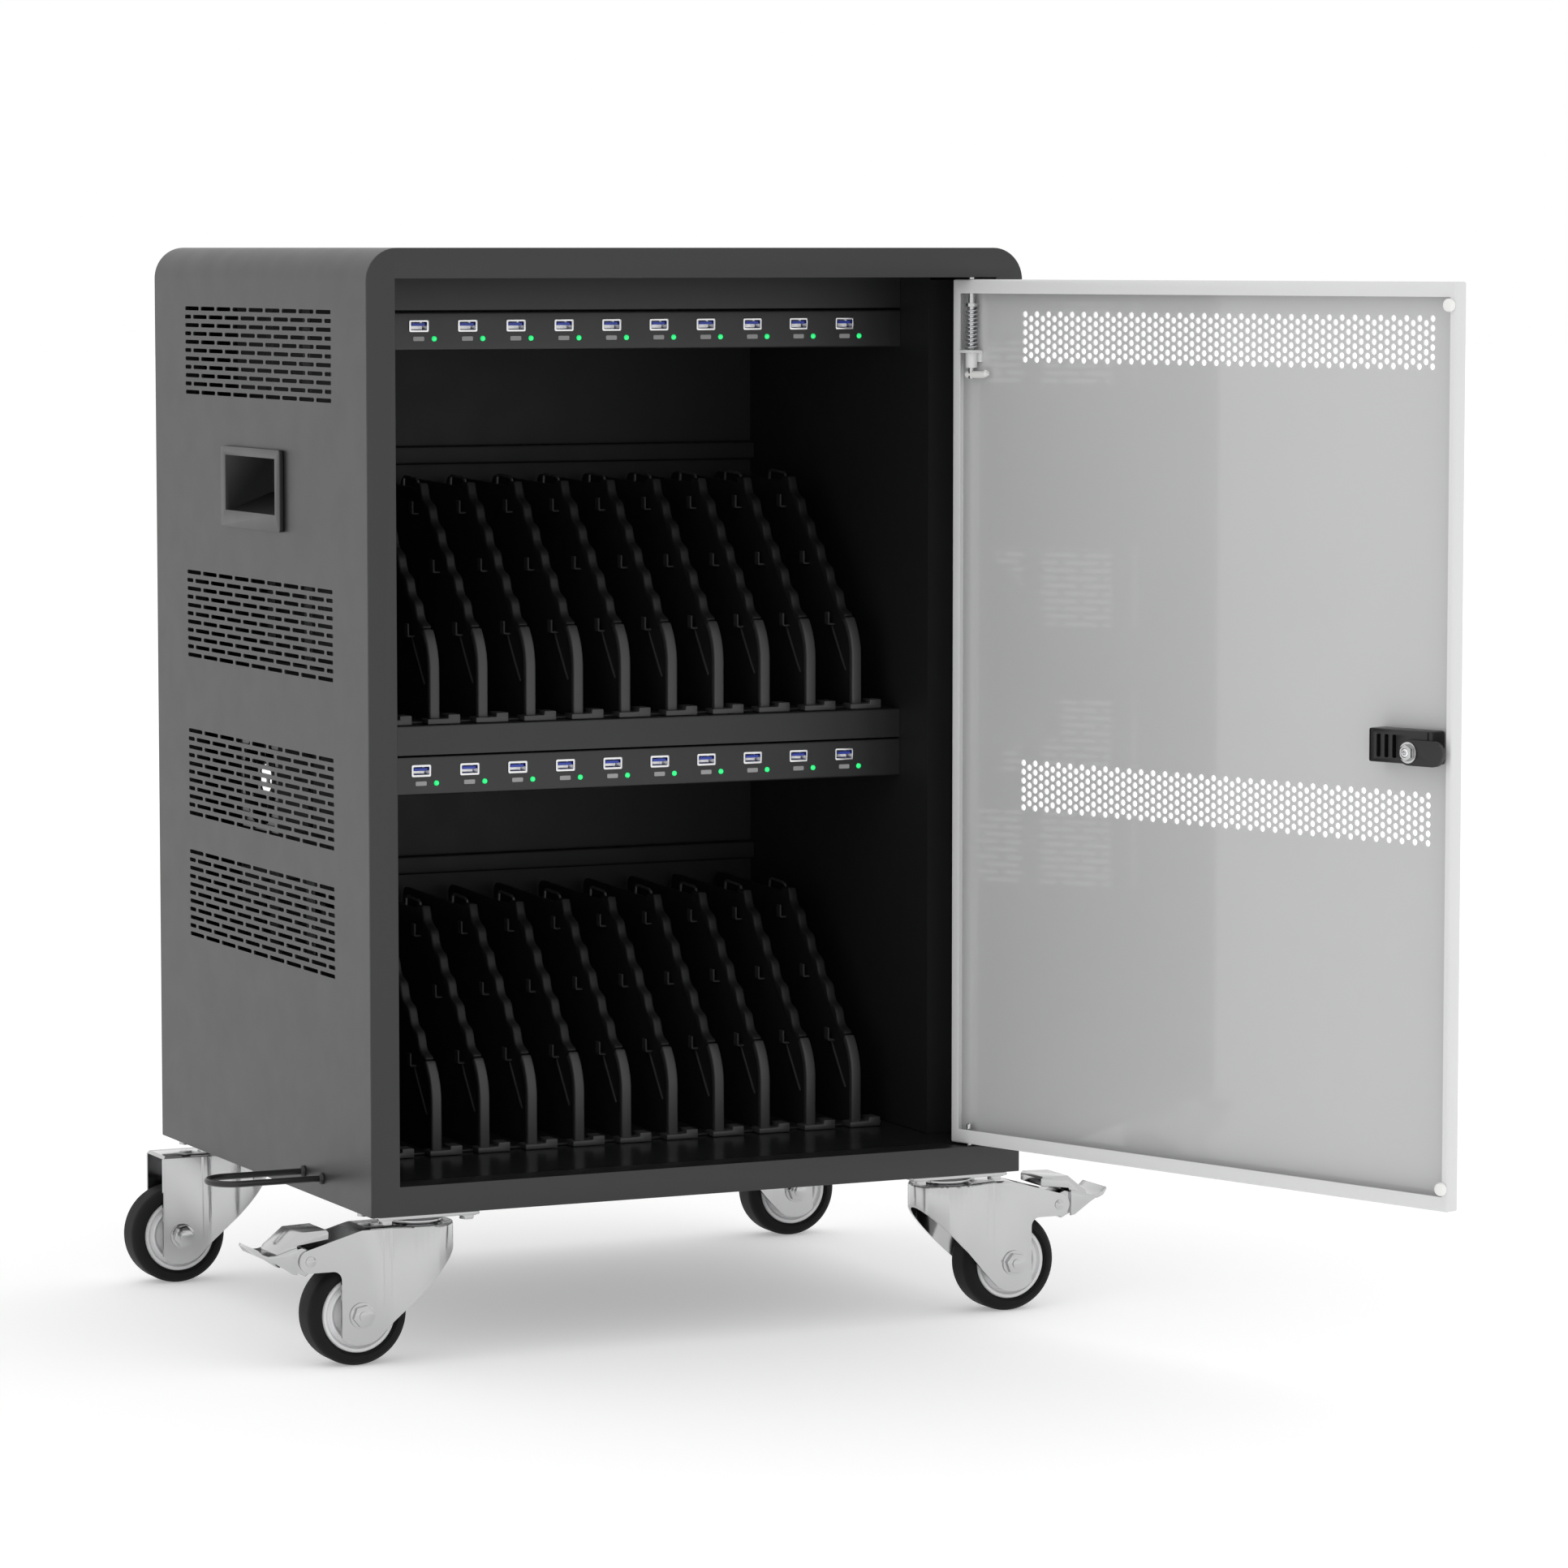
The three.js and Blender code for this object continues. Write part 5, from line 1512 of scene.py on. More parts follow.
    def port_row(self, name: str, pattern: Piece) -> Piece:
        """One piece per socket, as one mesh.

        Args:
            name: the row's name.
            pattern: the piece at the first socket.

        Returns:
            The undressed row.
        """
        row = row_of(pattern, self.ports, (self.pitch, 0, 0))
        row.name = name
        return row

    def build_channel(self, shelf: str, top: float, port: Pair, lamp: Pair) -> Piece:
        """One strip's folded channel with its holes.

        Args:
            shelf: which shelf it serves, for the name.
            top: height of its upper edge.
            port: place of the first socket.
            lamp: place of the first lamp.

        Returns:
            The undressed channel.
        """
        half = self.sheet / 2
        face, low, high = self.rack_front + half, top - self.strip_height + half, top - half
        back = self.rack_front + self.strip_depth
        corners = [(back, low), (face, low), (face, high), (back, high)]
        channel = self.fold(f"{shelf}_channel", corners)
        through = self.along((-4, 4))
        port_hole = add_plate("hole", pad(port, self.port_hole, 0.8, 2), Axis.Y, *through)
        lamp_hole = add_plate("hole", disc(*lamp, self.lamp_hole, 16), Axis.Y, *through)
        return carve(channel, self.port_row("holes", port_hole), self.port_row("holes", lamp_hole))

    def build_shell(self, port: Pair) -> Piece:
        """The first socket's metal shell with its lip and mouth.

        Args:
            port: place of the first socket.

        Returns:
            The undressed shell.
        """
        outline = pad(port, self.port_shell, 0.9, 3)
        shell = add_plate("shell", outline, Axis.Y, *self.along(self.shell_run))
        outline = pad(port, self.port_lip, 1.2, 3)
        weld(shell, add_plate("lip", outline, Axis.Y, *self.along(self.lip_run)))
        outline = pad(port, self.port_mouth, 0.6, 2)
        carve(shell, add_plate("mouth", outline, Axis.Y, *self.along(self.mouth_run)))
        return soften(shell, 0.25, 2, 50)

    def build_strip(self, shelf: str, top: float) -> list[Piece]:
        """One charging strip with its sockets, marks and lamps.

        Args:
            shelf: which shelf it serves, for the names.
            top: height of its upper edge.

        Returns:
            The dressed pieces.
        """
        x, z, front = self.first_port, top - self.port_drop, self.rack_front
        lamp_x, lamp_z = x + self.lamp_right, top - self.lamp_drop
        channel = self.build_channel(shelf, top, (x, z), (lamp_x, lamp_z))
        shells = self.port_row(f"{shelf}_socket_frames", self.build_shell((x, z)))
        corners = (
            tuple(a + b for a, b in zip((x, front, z), corner))
            for corner in (self.tongue_low, self.tongue_high)
        )
        tongue = add_box("tongue", *corners)
        tongues = self.port_row(f"{shelf}_socket_tongues", soften(tongue, 0.3, 1))
        lamp = smooth(add_turned("lamp", LAMP_LENS, Axis.Y, (lamp_x, front, lamp_z), 16))
        lamps = self.port_row(f"{shelf}_lamps", lamp)
        outline = pad((x, lamp_z), self.mark, 0.8, 3)
        mark = soften(add_plate("mark", outline, Axis.Y, *self.along(self.mark_run)), 0.06, 1)
        marks = self.port_row(f"{shelf}_marks", mark)
        wide, last = self.pitch / 2, x + self.pitch * (self.ports - 1)
        (near, far), (above, below) = self.along(self.board_run), self.board_drop
        corners = ((x - wide, near, top - below), (last + wide, far, top - above))
        board = soften(add_box(f"{shelf}_board", *corners), 0.3, 1)
        return [
            dress(channel, GRAPHITE_COAT, "cabinet", f"{shelf}_strip"),
            dress(shells, SOCKET_STEEL, "cabinet", f"{shelf}_socket_board"),
            dress(tongues, SOCKET_BLUE, "cabinet"),
            dress(lamps, LAMP_GREEN, "cabinet"),
            dress(marks, SOCKET_MARK, "cabinet"),
            dress(board, BOARD_GREEN, "cabinet"),
        ]

    def build_rack(self, shelf: str, deck: float) -> list[Piece]:
        """The row of dividers on one shelf and the tray that carries them.

        Args:
            shelf: which shelf it stands on, for the names.
            deck: the shelf's height.

        Returns:
            The dressed pieces.
        """
        z = deck + self.clear
        last = self.first_divider + self.pitch * (self.dividers - 1)
        before, after = self.tray_margin
        tray_y = (self.divider.front + self.tray_setback, self.divider.back)
        outline = rounded(self.first_divider - before, last + after, *tray_y, 4)
        tray = soften(add_plate(f"{shelf}_tray", outline, Axis.Z, z, z + self.tray), 0.5, 2, 60)
        made = [dress(tray, RACK_MOULDING, "cabinet", f"{shelf}_divider_rack")]
        pattern, dark = self.divider.build(f"{shelf}_divider")
        for i in range(self.dividers):
            place = shift(self.first_divider + self.pitch * i, 0, z)
            copy = twin(pattern, f"{shelf}_divider_{i + 1}", place)
            made.append(dress(copy, RACK_MOULDING, "cabinet"))
            # The faces after the web and comb take the lighter copy, which is painted light; the
            # web and comb keep the darker tone, which is painted shade.
            copy.data.materials.append(RACK_LIT_COPY.material())
            for face in copy.data.polygons[dark:]:
                face.material_index = 1
        bpy.data.objects.remove(pattern)
        made.append(self.build_rail(shelf, deck))
        return made

    def build_rail(self, shelf: str, deck: float) -> Piece:
        """The low channel across the rear wall over one row of dividers.

        Args:
            shelf: which shelf it belongs to, for the name.
            deck: the shelf's height.

        Returns:
            The dressed piece.
        """
        wall = self.partition - self.clear
        face, high = wall - self.rail_depth, deck + self.rail_top
        low = high - self.rail_height
        corners = [(wall, low), (face, low), (face, high), (wall, high)]
        return dress(self.fold(f"{shelf}_rear_rail", corners), INNER_COAT, "cabinet")

    def build(self) -> list[Piece]:
        """Builds everything between the inner walls.

        Returns:
            The dressed pieces.
        """
        made = self.build_sheets()
        for shelf, top, deck in (
            ("upper", self.upper_strip, self.deck),
            ("lower", self.lower_strip, self.floor),
        ):
            made += [*self.build_strip(shelf, top), *self.build_rack(shelf, deck)]
        return made


# The door


PULL_PATH = [
    (4.6, 0, 631.2),
    (1.0, 0, 631.2),
    (-9.0, 0, 631.2),
    (-13.0, 0, 631.4),
    (-15.2, 0, 632.0),
    (-16.8, 0, 633.2),
]
SLEEVE = [(1.0, 636.4), (4.2, 636.4), (4.6, 636.8), (4.6, 649.0), (1.0, 649.0)]
BRACKET_FOLD = [(-4.6, 641), (-4.6, 649.2), (6.6, 649.2)]
LOCK_STUB = [(0, 0), (2.2, 0), (2.2, 4.2), (1.6, 4.8), (0, 4.8)]
KEY_PLUG = [
    (0, -9.6),
    (6.6, -9.6),
    (7.5, -8.8),
    (7.5, 10.9),
    (3.25, 10.9),
    (3.25, 19.2),
    (2.7, 19.9),
    (0, 19.9),
]
NUT_WASHER = [(3.4, 4.4), (7.6, 4.4), (7.9, 4.7), (7.9, 5.0), (3.4, 5.0)]
BUMPER_DOME = [(0, 3.4), (3.4, 3.4), (4.3, 3.1), (4.8, 2.4), (5.0, 0.3), (0, 0.3)]


@dataclass
class Door:
    """The door with its hinge bolt, lock and bumpers, modelled closed about the hinge axis.

    Attributes:
        pivot: place of the hinge axis.
        opening: how far the door stands open, in degrees.
        free: the free edge, from the hinge axis.
        hinge_edge: the hinge edge, from the hinge axis.
        low: lower edge.
        high: upper edge.
        skin: outer face.
        inner: face of the lips.
        sheet: the door's sheet.
        lip: width of the upper and lower lip.
        free_lip: width of the lip at the free edge.
        hinge_lip: width of the lip at the hinge edge.
        clear: room between two pieces that meet.
        band_start: first column of holes, from the hinge axis.
        band_lows: lowest holes of the two bands.
        band_columns: columns of holes in a band.
        band_rows: holes in a long column.
        hole: radius of a hole.
        hole_step: from one long column to the next.
        hole_rise: from one hole to the next in a column.
        pin: radius of the hinge pins.
        pin_run: room round the pins.
        pin_ends: lower and upper end of the lower pin.
        bolt_ends: lower and upper end of the spring bolt.
        collar: lower and upper edge of the bolt's collar.
        collar_radius: radius of that collar.
        pull_wire: radius of the bolt's pull.
        spring_low: lower end of the coil.
        spring_high: upper end of the coil.
        spring_seat: where the coil stays put when the bolt slides; not used.
        coil_turns: turns of the coil.
        coil_steps: facets of a turn.
        coil_radius: radius of the coil's middle line.
        coil_wire: radius of its wire.
        bracket_half: half the width of the bolt's bracket.
        bracket_rise: lower and upper edge of its back plate.
        lock_x: the lock's axis, from the hinge axis.
        lock_z: height of the lock's axis.
        lock_face: inner face of the lock's case.
        lock_hole: radius of the lock's hole in the skin.
        case_ends: the case's ends, from the hinge axis.
        case_rise: the case's lower and upper edge, from the lock's axis.
        case_slots: slots in the case.
        slot_first: the first slot, from the hinge axis.
        slot_step: from one slot to the next.
        slot_half: half the width of a slot.
        case_steps: the case's two grooves, from the hinge axis.
        groove: half the width of a groove, and its depth.
        stub_place: the stub's end, its depth and its height over the lock's axis.
        plug_bore: radius of the case's bore.
        arm_radius: radius of the cam's round ends.
        arm_length: length of the cam between them.
        bumper_in: the bumpers from the free edge and from the corners.
    """

    pivot: Pair = (234.0, -231.0)
    opening: float = 110.0
    free: float = -484.5
    hinge_edge: float = 15.0
    low: float = 24.3
    high: float = 705.5
    skin: float = -7.0
    inner: float = 5.5
    sheet: float = 1.2
    lip: float = 11.0
    free_lip: float = 5.0
    hinge_lip: float = 7.5
    clear: float = 0.3
    band_start: float = -51.5
    band_lows: Pair = (294.0, 643.5)
    band_columns: int = 34
    band_rows: int = 6
    hole: float = 2.6
    hole_step: float = 12.2
    hole_rise: float = 7.0
    pin: float = 2.5
    pin_run: float = 0.4
    pin_ends: Pair = (15, 40)
    bolt_ends: Pair = (628, 713.0)
    collar: Pair = (684, 687)
    collar_radius: float = 5.0
    pull_wire: float = 2.7
    spring_low: float = 651.5
    spring_high: float = 683.0
    spring_seat: float = 650.8
    coil_turns: int = 10
    coil_steps: int = 20
    coil_radius: float = 4.2
    coil_wire: float = 0.8
    bracket_half: float = 7
    bracket_rise: Pair = (641, 650.2)
    lock_x: float = -452.0
    lock_z: float = 362.0
    lock_face: float = 11.0
    lock_hole: float = 10.3
    case_ends: Pair = (-470, -411)
    case_rise: Pair = (-9.0, 16.0)
    case_slots: int = 3
    slot_first: float = -420.5
    slot_step: float = 7.4
    slot_half: float = 1.7
    case_steps: Pair = (-413.5, -467.5)
    groove: float = 1.2
    stub_place: Triple = (-411.5, 3.0, 1.5)
    plug_bore: float = 7.8
    arm_radius: float = 9.5
    arm_length: float = 22
    bumper_in: Pair = (5.3, 17)

    def hang(self, piece: Piece) -> Piece:
        """Swings a piece from the closed door to the open one.

        Args:
            piece: a piece modelled on the closed door about the hinge axis.

        Returns:
            The same piece, with its place in its mesh.
        """
        turn = Matrix.Rotation(math.radians(self.opening), 4, "Z")
        piece.matrix_world = shift(*self.pivot, 0) @ turn
        return settle(piece, piece.name)

    def band(self, low: float) -> list[Piece]:
        """Cutters of one perforated band.

        Args:
            low: height of the band's lowest holes.

        Returns:
            The long columns and the short columns between them.
        """
        made = []
        for odd in (0, 1):
            x, z = self.band_start - odd * self.hole_step / 2, low + odd * self.hole_rise / 2
            outline = disc(x, z, self.hole, 10)
            hole = add_plate("hole", outline, Axis.Y, self.skin - 4, self.skin + 5)
            column = row_of(hole, self.band_rows - odd, (0, 0, self.hole_rise))
            made.append(row_of(column, self.band_columns - odd, (-self.hole_step, 0, 0)))
        return made

    def build_leaf(self) -> Piece:
        """The door's sheet pan: skin, turned edges and lips, with two perforated bands.

        Returns:
            The dressed piece.
        """
        s, lip = self.sheet, self.lip
        near, far = (self.free, self.skin, self.low), (self.hinge_edge, self.inner, self.high)
        leaf = soften(add_box("door_pan", near, far), 1.5, 3)
        well = add_box("well", tuple(v + s for v in near), tuple(v - s for v in far))
        carve(leaf, soften(well, 0.6, 2))
        left, right = self.free + self.free_lip, self.hinge_edge - self.hinge_lip
        window = rounded(left, right, self.low + lip, self.high - lip, 1.0, 2)
        carve(leaf, add_plate("window", window, Axis.Y, self.inner - 4, self.inner + 4))
        cutters = [c for low in self.band_lows for c in self.band(low)]
        hole = disc(self.lock_x, self.lock_z, self.lock_hole)
        cutters.append(add_plate("lock_hole", hole, Axis.Y, self.skin - 4, self.skin + 4))
        bore = disc(0, 0, self.pin + self.pin_run, 24)
        for z in (self.high, self.low):
            cutters.append(add_plate("bore", bore, Axis.Z, z - 3, z + 3))
        carve(leaf, *cutters)
        panel = [face.index for face in leaf.data.polygons if self.on_panel(face)]
        dress(self.hang(smooth(leaf)), DOOR_COAT, "door", "door_leaf")
        # The recessed panel takes the darker copy of the door paint, which is painted shade.
        leaf.data.materials.append(SHADED_PANEL_COAT.material())
        for index in panel:
            leaf.data.polygons[index].material_index = 1
            leaf.data.polygons[index].use_smooth = False
        return leaf

    def on_panel(self, face: bpy.types.MeshPolygon) -> bool:
        """Whether a face of the closed door is on the recessed inner panel."""
        return face.normal.y > 0.9 and face.center.y < (self.skin + 2 * self.sheet) * MM

    def bolt_shaft(self) -> Piece:
        """The spring bolt's shaft with its collar.

        Returns:
            The shaft.
        """
        r, wide = self.pin, self.collar_radius
        (low, tip), (under, over) = self.bolt_ends, self.collar
        profile = [
            (0, low),
            (r - 0.4, low),
            (r, low + 0.6),
            (r, under),
            (wide, under + 0.2),
            (wide, over - 0.2),
            (r, over),
            (r, tip - 1.5),
            (r - 1.2, tip),
            (0, tip),
        ]
        return smooth(add_turned("spring_bolt", profile, Axis.Z, (0, 0, 0), 28))

    def bolt_coil(self) -> Piece:
        """The coil round the bolt.

        Returns:
            The coil.
        """
        steps, radius, rise = self.coil_steps, self.coil_radius, self.spring_high - self.spring_low
        count = self.coil_turns * steps
        path = []
        for i in range(count + 1):
            turn = 2 * math.pi * i / steps
            z = self.spring_low + rise * i / count
            path.append((radius * math.cos(turn), radius * math.sin(turn), z))
        return smooth(add_wire("bolt_coil", path, self.coil_wire, 2), 60)

    def bolt_bracket(self) -> Piece:
        """The bracket that carries the bolt: a folded ear, a back plate and a sleeve.

        Returns:
            The bracket.
        """
        half, (low, high) = self.bracket_half, self.bracket_rise
        ear = add_plate("ear", folded(BRACKET_FOLD, 2.2, 1.8), Axis.X, -half, half)
        plate = add_plate("plate", rounded(-half, half, low, high, 1.5), Axis.Y, -5.5, -4.4)
        sleeve = add_turned("sleeve", SLEEVE, Axis.Z, (0, 0, 0), 28)
        bracket = weld(ear, plate, sleeve)
        bore = disc(0, 0, self.pin + self.pin_run, 24)
        carve(bracket, add_plate("bore", bore, Axis.Z, low - 8, high + 3))
        return soften(bracket, 0.4, 2, 60)

    def lower_pin(self) -> Piece:
        """The pin at the door's lower edge, with a collar on the sheet.

        Returns:
            The pin.
        """
        r, wide, (low, high) = self.pin, self.pin * 1.5, self.pin_ends
        seat = self.low + self.sheet + self.clear
        profile = [
            (0, low),
            (r - 0.8, low),
            (r, low + 0.9),
            (r, seat),
            (wide, seat + 0.2),
            (wide, seat + 4.1),
            (r, seat + 4.3),
            (r, high - 0.8),
            (r - 0.8, high),
            (0, high),
        ]
        return smooth(add_turned("lower_pin", profile, Axis.Z, (0, 0, 0), 28))

    def build_bolt(self) -> list[Piece]:
        """The spring bolt, its coil, the bracket that carries it and the pin below.

        Returns:
            The dressed pieces.
        """
        shaft = self.bolt_shaft()
        pull = soften(add_wire("bolt_pull", PULL_PATH, self.pull_wire, 4), 0.8, 2, 60)
        coil, bracket, pin = self.bolt_coil(), self.bolt_bracket(), self.lower_pin()
        made = [
            dress(self.hang(shaft), ZINC_PLATE, "hinge_bolt", "hinge_bolt"),
            dress(self.hang(coil), STEEL_CASE, "door", "hinge_spring"),
            dress(self.hang(bracket), DOOR_COAT, "door", "hinge_bracket"),
            dress(self.hang(pin), ZINC_PLATE, "door", "lower_hinge_pin"),
            dress(self.hang(pull), BUFFER_RUBBER, "hinge_bolt"),
        ]
        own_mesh(made[1])
        return made

    def lock_case(self) -> Piece:
        """The lock's case with its slots, grooves, stub and the rim on the skin.

        Returns:
            The case.
        """
        x, z, face = self.lock_x, self.lock_z, self.lock_face
        low, high = z + self.case_rise[0], z + self.case_rise[1]
        back = self.skin + self.sheet + self.clear
        near, far = self.case_ends
        body = soften(add_box("lock_case", (near, back, low), (far, face, high)), 1.6, 3)
        cutters = []
        for i in range(self.case_slots):
            u = self.slot_first - self.slot_step * i
            outline = rounded(u - self.slot_half, u + self.slot_half, low + 4, high - 4, 1.0, 2)
            cutters.append(add_plate("slot", outline, Axis.Y, face - 8, face + 3))
        g = self.groove
        for u in self.case_steps:
            corners = ((u - g, face - g, low - 2), (u + g, face + 3, high + 2))
            cutters.append(add_box("step", *corners))
        carve(body, *cutters)
        soften(body, 0.35, 2, 55)
        stub_x, stub_y, up = self.stub_place
        stub = add_turned("stub", LOCK_STUB, Axis.X, (stub_x, stub_y, z + up), 16)
        bore = self.plug_bore
        ring = [
            (bore, -9.3),
            (10.6, -9.3),
            (12, -8.4),
            (12, -7.3),
            (10, -7.3),
            (10, back + 1),
            (bore, back + 1),
        ]
        rim = add_turned("rim", ring, Axis.Y, (x, 0, z), 40)
        carve(body, add_plate("bore", disc(x, z, bore), Axis.Y, back - 2, face + 3))
        return smooth(fuse("lock_case", body, stub, rim))

    def key_plug(self) -> Piece:
        """The lock's plug with its keyway outside and a socket inside.

        Returns:
            The plug.
        """
        x, z = self.lock_x, self.lock_z
        plug = add_turned("key_plug", KEY_PLUG, Axis.Y, (x, 0, z), 36)
        carve(plug, add_box("key", (x - 0.9, -12, z - 4), (x + 0.9, -4, z + 4)))
        carve(plug, add_plate("socket", arc(x, z, 2.3, 0, 300, 5), Axis.Y, 13, 22))
        return smooth(plug)

    def lock_arm(self) -> Piece:
        """The flat cam on the plug.

        Returns:
            The cam.
        """
        x, z, face, r = self.lock_x, self.lock_z, self.lock_face, self.arm_radius
        outline = [*arc(x, z, r, -90, 90, 16), *arc(x - self.arm_length, z, r, 90, 270, 16)]
        cam = add_plate("lock_arm", outline, Axis.Y, face + self.clear, face + 4.3)
        carve(cam, add_plate("eye", disc(x, z, 3.6, 24), Axis.Y, face - 2, face + 8))
        return soften(cam, 0.8, 3, 55)

    def cam_nut(self) -> Piece:
        """The nut that holds the cam, on its washer.

        Returns:
            The nut and its washer.
        """
        x, z, face = self.lock_x, self.lock_z, self.lock_face
        nut = add_plate("cam_nut", arc(x, z, 6.5, 30, 330, 5), Axis.Y, face + 5.0, face + 8.6)
        soften(nut, 0.5, 2, 40)
        washer = add_turned("washer", NUT_WASHER, Axis.Y, (x, face, z), 32)
        carve(nut, add_plate("eye", disc(x, z, 3.5, 24), Axis.Y, face - 2, face + 12))
        return smooth(fuse("cam_nut", nut, washer))

    def build_lock(self) -> list[Piece]:
        """The lock's case, the key plug, the cam and its nut.

        Returns:
            The dressed pieces.
        """
        case, plug, cam, nut = self.lock_case(), self.key_plug(), self.lock_arm(), self.cam_nut()
        return [
            dress(self.hang(case), LOCK_MOULDING, "door", "lock_housing"),
            dress(self.hang(plug), POLISHED, "lock", "lock_plug"),
            dress(self.hang(cam), LOCK_MOULDING, "lock", "lock_cam"),
            dress(self.hang(nut), ZINC_PLATE, "lock", "lock_nut"),
        ]

    def build_bumpers(self) -> list[Piece]:
        """The two domed bumpers on the free lip.

        Returns:
            The dressed pieces.
        """
        made = []
        across, up = self.bumper_in
        for name, z in (("upper", self.high - up), ("lower", self.low + up)):
            place = (self.free + across, self.inner, z)
            bumper = smooth(add_turned(f"{name}_stop", BUMPER_DOME, Axis.Y, place, 32))
            made.append(dress(self.hang(bumper), BUFFER_RUBBER, "door", f"{name}_bumper"))
        return made

    def build(self) -> list[Piece]:
        """Builds the door and all that hangs on it."""
        return [self.build_leaf(), *self.build_bolt(), *self.build_lock(), *self.build_bumpers()]


# The casters


BEARING_RACE = [
    (0.0, -2.0),
    (23.6, -2.0),
    (23.6, -4.4),
    (22.0, -6.4),
    (20.6, -7.0),
    (20.6, -8.2),
    (19.6, -9.3),
    (0.0, -9.3),
]
HUB_FACE = [
    (4.4, 17.4),
    (8.4, 17.4),
    (9.2, 16.6),
    (9.2, 11.2),
    (10.0, 10.4),
    (19.0, 10.0),
    (20.0, 11.0),
    (20.6, 12.8),
    (21.6, 13.4),
    (22.4, 13.0),
    (23.2, 12.0),
    (25.0, 11.8),
    (26.0, 12.8),
    (26.6, 14.2),
    (28.6, 14.6),
    (29.5, 13.6),
]
PEDAL_TREAD = [
    (-10.6, 11.0),
    (-15.0, 10.2),
    (-21.0, 8.2),
    (-28.0, 6.4),
    (-34.0, 6.2),
    (-38.6, 8.0),
    (-42.4, 11.6),
    (-43.0, 10.0),
    (-39.8, 5.4),
    (-35.0, 3.2),
    (-28.5, 2.8),
    (-21.0, 4.0),
    (-15.0, 6.0),
    (-10.6, 7.0),
]
PEDAL_CHEEK = [
    (-10.6, 10.8),
    (-15.0, 10.0),
    (-21.0, 8.0),
    (-28.0, 6.2),
    (-38.0, 6.0),
    (-28.0, 0.4),
    (-14.0, -9.0),
    (-10.6, -9.6),
]
PEDAL_STEP = [
    (15.5, 15.6),
    (15.5, 21.4),
    (13.6, 23.2),
    (-9.0, 22.4),
    (-25.0, 9.6),
    (-27.0, 5.0),
    (-11.0, 8.0),
    (-9.6, 12.4),
]


